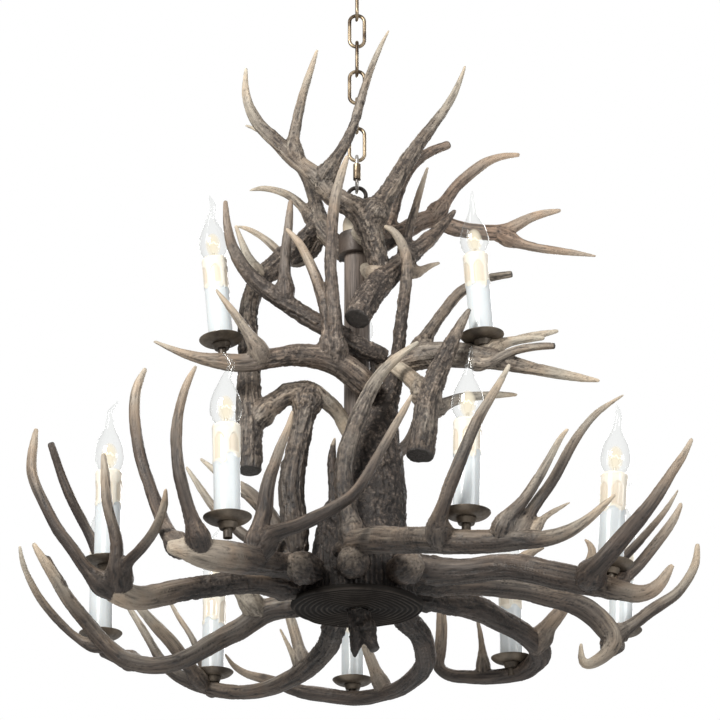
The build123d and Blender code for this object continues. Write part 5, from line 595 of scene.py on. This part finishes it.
def column_material():
    m, nt, bsdf = material("grey_grain_column")
    obj = node(nt, "ShaderNodeTexCoord").outputs["Object"]
    n1 = noise_tex(nt, scaled(nt, obj, (1.0, 1.0, 0.045)), 520.0, 5.0, 0.6)
    n2 = noise_tex(nt, obj, 30.0, 3.0, 0.5)
    c = ramp(nt, n1, [(0.32, (0.045, 0.034, 0.028)), (0.5, (0.150, 0.120, 0.100)), (0.68, (0.235, 0.195, 0.165))])
    c = mix(nt, 0.6, c, ramp(nt, n2, [(0.4, (1.0, 0.97, 0.94)), (0.65, (0.72, 0.68, 0.66))]), "MULTIPLY")
    nt.links.new(c, bsdf.inputs["Base Color"])
    bsdf.inputs["Roughness"].default_value = 0.6
    bump(nt, bsdf, n1, 0.6, 0.0006)
    return m


def candle_material():
    m, nt, bsdf = material("candle_wax")
    at = node(nt, "ShaderNodeAttribute", attribute_name="high")
    dp = node(nt, "ShaderNodeAttribute", attribute_name="deep")
    obj = node(nt, "ShaderNodeTexCoord").outputs["Object"]
    n1 = noise_tex(nt, obj, 60.0, 3.0, 0.5)
    c = ramp(nt, at.outputs["Fac"], [(0.0, (0.54, 0.575, 0.59)), (0.45, (0.60, 0.63, 0.635)), (0.60, (0.69, 0.645, 0.55)), (1.0, (0.74, 0.69, 0.59))])
    c = mix(nt, math_node(nt, "MULTIPLY", dp.outputs["Fac"], 0.62), c, (0.56, 0.46, 0.34))
    c = mix(nt, math_node(nt, "MULTIPLY", math_node(nt, "SUBTRACT", 0.55, n1), 0.35), c, (0.50, 0.535, 0.55))
    nt.links.new(c, bsdf.inputs["Base Color"])
    bsdf.inputs["Roughness"].default_value = 0.28
    bsdf.inputs["Subsurface Weight"].default_value = 0.1
    bsdf.inputs["Subsurface Radius"].default_value = (0.006, 0.004, 0.003)
    bsdf.inputs["Subsurface Scale"].default_value = 1.0
    bsdf.inputs["Coat Weight"].default_value = 0.25
    bump(nt, bsdf, n1, 0.15, 0.0004)
    return m


def glass_material():
    m, nt, bsdf = material("lamp_glass")
    nt.nodes.remove(bsdf)
    out = nt.nodes["Material Output"]
    lw = node(nt, "ShaderNodeLayerWeight", Blend=0.28)
    tr = node(nt, "ShaderNodeBsdfTransparent")
    tr.inputs["Color"].default_value = (0.97, 0.975, 0.97, 1)
    gl = node(nt, "ShaderNodeBsdfGlossy")
    gl.inputs["Color"].default_value = (0.80, 0.81, 0.80, 1)
    gl.inputs["Roughness"].default_value = 0.04
    ms = nt.nodes.new("ShaderNodeMixShader")
    f = math_node(nt, "ADD", math_node(nt, "MULTIPLY", math_node(nt, "POWER", lw.outputs["Facing"], 2.2), 0.85), 0.05)
    nt.links.new(f, ms.inputs[0])
    nt.links.new(tr.outputs[0], ms.inputs[1])
    nt.links.new(gl.outputs[0], ms.inputs[2])
    nt.links.new(ms.outputs[0], out.inputs["Surface"])
    return m


def glow_material():
    m, nt, bsdf = material("lamp_glow")
    nt.nodes.remove(bsdf)
    out = nt.nodes["Material Output"]
    lw = node(nt, "ShaderNodeLayerWeight", Blend=0.5)
    tr = node(nt, "ShaderNodeBsdfTransparent")
    em = node(nt, "ShaderNodeEmission")
    em.inputs["Color"].default_value = (1.0, 0.90, 0.70, 1)
    em.inputs["Strength"].default_value = 1.05
    ms = nt.nodes.new("ShaderNodeMixShader")
    inv = math_node(nt, "SUBTRACT", 1.0, lw.outputs["Facing"])
    nt.links.new(math_node(nt, "MULTIPLY", math_node(nt, "POWER", inv, 2.0), 0.85), ms.inputs[0])
    nt.links.new(tr.outputs[0], ms.inputs[1])
    nt.links.new(em.outputs[0], ms.inputs[2])
    nt.links.new(ms.outputs[0], out.inputs["Surface"])
    return m


def filament_material():
    m, nt, bsdf = material("lamp_filament")
    bsdf.inputs["Base Color"].default_value = (0.9, 0.6, 0.3, 1)
    bsdf.inputs["Emission Color"].default_value = (1.0, 0.74, 0.36, 1)
    bsdf.inputs["Emission Strength"].default_value = 6.0
    return m


WAX, GLASS, GLOW, WIRE = candle_material(), glass_material(), glow_material(), filament_material()
BRASSCAP = metal_material("lamp_cap_brass", (0.55, 0.42, 0.20), (0.25, 0.18, 0.08), 0.3, 0.9)

# ------------------------------------------------------------------ antlers, trunk and finial
LOOK = {"antler_front_right": GREY, "antler_front_left": BROWN, "antler_left": BROWN, "antler_left_rear": GREY, "antler_rear_left": GREY,
        "antler_rear": BROWN, "antler_rear_right": BROWN, "antler_right_rear": GREY, "antler_right": BROWN, "antler_mid_left": GREY,
        "antler_upper_left_rear": GREY, "antler_crown": GREY, "antler_upper_stub": BROWN, "antler_upper_right_rear": TAN,
        "antler_upper_right": GREY, "antler_mid_right": GREY, "antler_mid_long": BROWN, "antler_mid_dark": DARK, "antler_upper_rear": DARK,
        "trunk": BROWN, "finial": DARK}
VOX = 1.55
for k, (name, branches) in enumerate(SKEL.items()):
    grow(name + "_detail", branches, "chandelier", LOOK[name], seed=11 + 7 * k, voxel=VOX if name != "trunk" else VOX * 1.25,
         drum=-800.0 if name == "trunk" else None)


# ------------------------------------------------------------------ lights
def axes_of(light):
    name, base, axis, bend = light
    z = np.array(axis, float); z /= np.linalg.norm(z)
    x = np.array([1.0, 0, 0]) - z * z[0]; x /= np.linalg.norm(x)
    return np.array(base, float), x, np.cross(z, x), z


def lathe(rows, seg, offset=None):
    """rows of (radius, height); offset(h) gives the centre's lean; returns mm verts in local x, y, z and faces."""
    a = np.linspace(0, 2 * np.pi, seg, endpoint=False)
    verts, faces = [], []
    for r, h in rows:
        dx = offset(h) if offset else 0.0
        verts += [(dx + r * math.cos(t), r * math.sin(t), h) for t in a]
    for i in range(len(rows) - 1):
        for j in range(seg):
            k = (j + 1) % seg
            faces.append((i * seg + j, i * seg + k, (i + 1) * seg + k, (i + 1) * seg + j))
    return np.array(verts), faces


def placed(v, fr):
    base, x, y, z = fr
    return (base + v[:, :1] * x + v[:, 1:2] * y + v[:, 2:3] * z) / 1000.0


def candle(seed):
    seg, hs = 96, np.r_[np.linspace(-5.6, 60, 34), np.linspace(60.8, 103, 56)]
    a = np.linspace(0, 2 * np.pi, seg, endpoint=False)
    rng = np.random.default_rng(seed)
    phase = rng.uniform(0, 2 * np.pi)
    verts, high, deep = [], [], []
    ncol = 5
    drip = rng.uniform(-6, 3, ncol)
    for h in hs:
        q = (a + phase) % (2 * np.pi) / (2 * np.pi) * ncol
        cell = np.floor(q).astype(int)
        w = np.abs(q - cell - 0.5) * 2          # 0 mid panel, 1 at the column
        colm = np.clip((w - 0.62) / 0.16, 0, 1)
        arch_h = 92 - 7.0 * np.clip(w / 0.7, 0, 1) ** 2.2
        inside = np.clip((arch_h - h) / 1.5, 0, 1) * (1 - colm)
        bottom = 66 + drip[cell]
        inside = inside * np.clip((h - bottom) / 2.0, 0, 1)
        skirt = np.clip((h - (62 + drip[cell] + 2.5 * np.sin(q * 6.3))) / 1.6, 0, 1)
        ring = math.exp(-((h - 100.2) / 1.5) ** 2) * 0.5
        r = 14.35 + 0.75 * skirt - 0.75 * inside + ring * 0.7
        r = r + 0.18 * colm * skirt
        if h > 101.5:
            r = r - (h - 101.5) * 0.5
        verts.append(np.stack([r * np.cos(a), r * np.sin(a), np.full(seg, h)], 1))
        high.append(np.full(seg, 1.0) * skirt * 0.62 + 0.35 * skirt * np.clip((h - 63) / 40, 0, 1) + (1 - skirt) * 0.25)
        deep.append(inside * 0.9 + 0.5 * np.clip(1 - np.abs(w - 0.60) / 0.06, 0, 1) * skirt * (h < 95))
    rows = len(hs)
    for h, rr in ((103.0, 13.2), (99.0, 13.1), (60.0, 13.1), (-5.6, 13.1)):
        verts.append(np.stack([rr * np.cos(a), rr * np.sin(a), np.full(seg, h)], 1))
        high.append(np.full(seg, 0.8)); deep.append(np.full(seg, 0.3 if h > 98 else 0.7))
        rows += 1
    faces = []
    for i in range(rows - 1):
        for j in range(seg):
            k = (j + 1) % seg
            faces.append((i * seg + j, i * seg + k, (i + 1) * seg + k, (i + 1) * seg + j))
    for j in range(seg):
        k = (j + 1) % seg
        faces.append(((rows - 1) * seg + j, (rows - 1) * seg + k, k, j))
    return np.vstack(verts), faces, np.concatenate(high), np.concatenate(deep)


def lamp_rows():
    t = 103.0
    pts = [(6.8, 98.6), (7.4, t - 3), (9.2, t), (12.4, t + 4), (15.3, t + 9), (17.0, t + 14), (17.4, t + 18), (17.0, t + 24), (15.9, t + 30), (14.2, t + 36),
           (12.0, t + 41), (9.7, t + 45.5), (7.5, t + 50), (5.9, t + 54), (5.0, t + 58), (4.4, t + 62), (3.95, t + 66), (3.7, t + 70), (3.3, t + 74), (2.6, t + 78), (1.9, t + 81.5), (1.2, t + 84.3), (0.5, t + 85.7)]
    p = np.array([(r, h, 0, 0) for r, h in pts])
    c, r, s = centre_line([(a, 0, b, 1) for a, b in pts], 1.6)
    return [(max(0.3, q[0]), q[2]) for q in c]


wax_v, wax_f, wax_h, wax_d, off = [], [], [], [], 0
for i, light in enumerate(LIGHTS):
    fr = axes_of(light)
    v, f, hi_, dp_ = candle(100 + i)
    wax_v.append(placed(v, fr)); wax_f += [tuple(k + off for k in q) for q in f]; off += len(v)
    wax_h.append(hi_); wax_d.append(dp_)
candles = new_mesh("candle_sleeves_detail", np.vstack(wax_v), wax_f)
put_attr(candles.data, "high", "FLOAT", np.concatenate(wax_h))
put_attr(candles.data, "deep", "FLOAT", np.concatenate(wax_d))
candles.data.materials.append(WAX)
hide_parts("candle_sleeves"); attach(candles, "chandelier")

for i, light in enumerate(LIGHTS):
    fr = axes_of(light)
    s1, s2 = light[3]
    ks, xs = np.array([0.0, 157.0, 163.0, 169.0, 175.0, 182.0, 187.0, 189.0]), np.array([0, 0, s1 * 0.35, s1 * 0.8, s1, (s1 + s2) / 2, s2, s2])
    lean = lambda h: float(np.interp(h, ks, xs))
    rows = lamp_rows()
    v, f = lathe(rows, 48, lean)
    last = len(rows) - 1
    f.append(tuple(last * 48 + j for j in range(48)))
    glass = new_mesh("bulb_%02d_glass" % (i + 1), placed(v, fr), f)
    glass.data.materials.append(GLASS)
    cap_rows = [(2.5, 76.2), (4.5, 77.5), (6.6, 80.2)] + [(6.6 + 0.28 * (k % 2), 81.0 + 1.3 * k) for k in range(13)] + [(6.8, 99.2), (6.2, 99.8), (0.4, 99.8)]
    v2, f2 = lathe(cap_rows, 32)
    f2.append(tuple(range(32))[::-1])
    cap = new_mesh("bulb_%02d_cap" % (i + 1), placed(v2, fr), f2)
    cap.data.materials.append(BRASSCAP)
    # stem, two support wires and the filament loop
    parts_v, parts_f, o2 = [], [], 0
    path = [[(0, 0, 99.8), (0, 0, 106), (0, 0, 111)], [(-1.2, 0, 110), (-3.4, 0, 117), (-4.2, 0, 123)], [(1.2, 0, 110), (3.4, 0, 117), (4.2, 0, 123)]]
    for pth, rr in zip(path, (1.9, 0.25, 0.25)):
        c, r, s = centre_line([(*q, rr) for q in pth], 1.2)
        vv, ff = tube(c, r, True, 10)
        parts_v.append(vv); parts_f += [tuple(k + o2 for k in q) for q in ff]; o2 += len(vv)
    stem = new_mesh("bulb_%02d_stem" % (i + 1), placed(np.vstack(parts_v), fr), parts_f)
    stem.data.materials.append(STEEL)
    loop = [(-4.2, 0, 123), (-3.0, 0.8, 126.5), (-1.2, -0.8, 124.2), (0.6, 0.8, 127.2), (2.4, -0.8, 124.4), (4.2, 0, 123)]
    c, r, s = centre_line([(*q, 0.42) for q in loop], 0.6)
    vv, ff = tube(c, r, True, 8)
    wire = new_mesh("bulb_%02d_filament" % (i + 1), placed(vv, fr), ff)
    wire.data.materials.append(WIRE)
    gv, gf = lathe([(9.6 * math.sin(math.pi * k / 16) + 0.05, 122.5 - 15.5 * math.cos(math.pi * k / 16)) for k in range(17)], 32)
    glow = new_mesh("bulb_%02d_glow" % (i + 1), placed(gv, fr), gf)
    glow.data.materials.append(GLOW)
    body = "lamp_%02d" % (i + 1)
    for ob in (glass, cap, stem, wire, glow):
        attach(ob, body)
    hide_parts("bulb_%02d" % (i + 1))

# ------------------------------------------------------------------ bottom disc with growth rings
seg, radii = 180, np.r_[5.2, np.linspace(6.5, 76.2, 110)]
a = np.linspace(0, 2 * np.pi, seg, endpoint=False)
vv, dd = [], []
for r in radii:
    wob = 3.4 * (noise(np.stack([np.cos(a) * 2.2 + 5, np.sin(a) * 2.2 + 5, a * 0], 1), 5) - 0.5) * min(1, r / 25)
    w = (r + wob * 2.2) / 6.3
    ridge = 0.5 + 0.5 * np.cos(2 * np.pi * w)
    edge = max(0.0, (r - 73.8) / 2.6) ** 2 * 2.2
    z = -886.9 + 1.9 * (1 - ridge) * (r > 9) + edge
    vv.append(np.stack([r * np.cos(a), r * np.sin(a), z + 0 * a], 1)); dd.append(1 - ridge)
for r, z in ((76.6, -882.5), (76.6, -880.4), (75.6, -879.2), (40.0, -879.2), (5.2, -879.2)):
    vv.append(np.stack([r * np.cos(a), r * np.sin(a), z + 0 * a], 1)); dd.append(0.5 + 0 * a)
rows = len(vv)
ff = [(i * seg + (j + 1) % seg, i * seg + j, (i + 1) * seg + j, (i + 1) * seg + (j + 1) % seg) for i in range(rows - 1) for j in range(seg)]
ff += [((rows - 1) * seg + (j + 1) % seg, (rows - 1) * seg + j, j, (j + 1) % seg) for j in range(seg)]
disc = new_mesh("bottom_disc_detail", np.vstack(vv) / 1000.0, ff)
put_attr(disc.data, "deep", "FLOAT", np.concatenate(dd))
disc.data.materials.append(disc_material())
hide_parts("bottom_disc"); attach(disc, "chandelier")

# ------------------------------------------------------------------ carried-over CAD pieces
CREAM = candle_material()
PORC = metal_material("socket_cream", (0.62, 0.58, 0.50), (0.42, 0.38, 0.32), 0.5, 0.0)
CUPM = metal_material("cream_cup", (0.60, 0.53, 0.42), (0.34, 0.27, 0.19), 0.42, 0.0, 120.0)
carried = {"column": column_material(), "collar": COLLARM, "top_cup": CUPM, "top_eye": IRON, "bobeches": DISHM, "candle_cups": DISHM, "lamp_sockets": PORC,
           "centre_rod": STEEL, "bottom_nut": STEEL, "ceiling_bracket": STEEL, "canopy": BRONZE, "canopy_nipple": STEEL, "canopy_nut": STEEL,
           "canopy_loop": BRONZE, "quick_link": STEEL, "quick_link_sleeve": BRONZE}
carried.update({"chain_link_%d" % i: BRONZE for i in range(6)})
for n, mat in carried.items():
    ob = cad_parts[n]
    if len(ob.material_slots) == 0:
        ob.data.materials.append(mat)
    for sl in ob.material_slots:
        sl.link = "OBJECT"
        sl.material = mat

# ------------------------------------------------------------------ stage, light, camera
fl = new_mesh("floor", [(-9, -9, -2.9), (9, -9, -2.9), (9, 9, -2.9), (-9, 9, -2.9)], [(0, 1, 2, 3)], False)
m, nt, bsdf = material("pale_floor")
bsdf.inputs["Base Color"].default_value = (0.86, 0.86, 0.85, 1)
bsdf.inputs["Roughness"].default_value = 0.7
fl.data.materials.append(m)

w = bpy.data.worlds.new("studio")
scene.world = w
w.use_nodes = True
nt = w.node_tree
bg = nt.nodes["Background"]
lp = nt.nodes.new("ShaderNodeLightPath")
bg.inputs["Color"].default_value = (1, 1, 1, 1)
st = nt.nodes.new("ShaderNodeMix")
st.data_type = "FLOAT"
nt.links.new(lp.outputs["Is Camera Ray"], st.inputs[0])
wc = nt.nodes.new("ShaderNodeTexCoord")
wz = nt.nodes.new("ShaderNodeSeparateXYZ")
nt.links.new(wc.outputs["Generated"], wz.inputs[0])
wr = nt.nodes.new("ShaderNodeMapRange")
nt.links.new(wz.outputs["Z"], wr.inputs["Value"])
for k, v in (("From Min", -0.9), ("From Max", 0.9), ("To Min", 0.06), ("To Max", 0.74)):
    wr.inputs[k].default_value = v
nt.links.new(wr.outputs["Result"], st.inputs[2])
st.inputs[3].default_value = 1.0
nt.links.new(st.outputs[0], bg.inputs["Strength"])


def area(name, loc, target, size, watts, colour=(1, 1, 1)):
    li = bpy.data.lights.new(name, "AREA")
    li.energy, li.size, li.color = watts, size, colour
    ob = bpy.data.objects.new(name, li)
    ob.location = loc
    ob.rotation_euler = (Vector(target) - Vector(loc)).to_track_quat("-Z", "Y").to_euler()
    col.objects.link(ob)


area("key", (-1.4, -2.2, 0.5), (0, 0, -0.60), 1.1, 104, (1.0, 0.985, 0.96))
area("fill", (2.0, -1.6, -0.6), (0, 0, -0.7), 1.2, 30)
area("back", (0.6, 2.2, 0.4), (0, 0, -0.6), 1.4, 46)

cam = bpy.data.cameras.new("camera")
cam.sensor_width = 36.0
cam.lens = 2515.5 * 36.0 / 720.0
cam.shift_x = 3.0 / 720.0
cam.clip_start, cam.clip_end = 0.1, 60.0
co = bpy.data.objects.new("camera", cam)
d = Vector((0, 0.9223, 0.3866))
co.location = (0, -2.7862, -1.7428)
co.rotation_euler = d.to_track_quat("-Z", "Y").to_euler()
col.objects.link(co)
scene.camera = co
scene.view_settings.view_transform = "Standard"
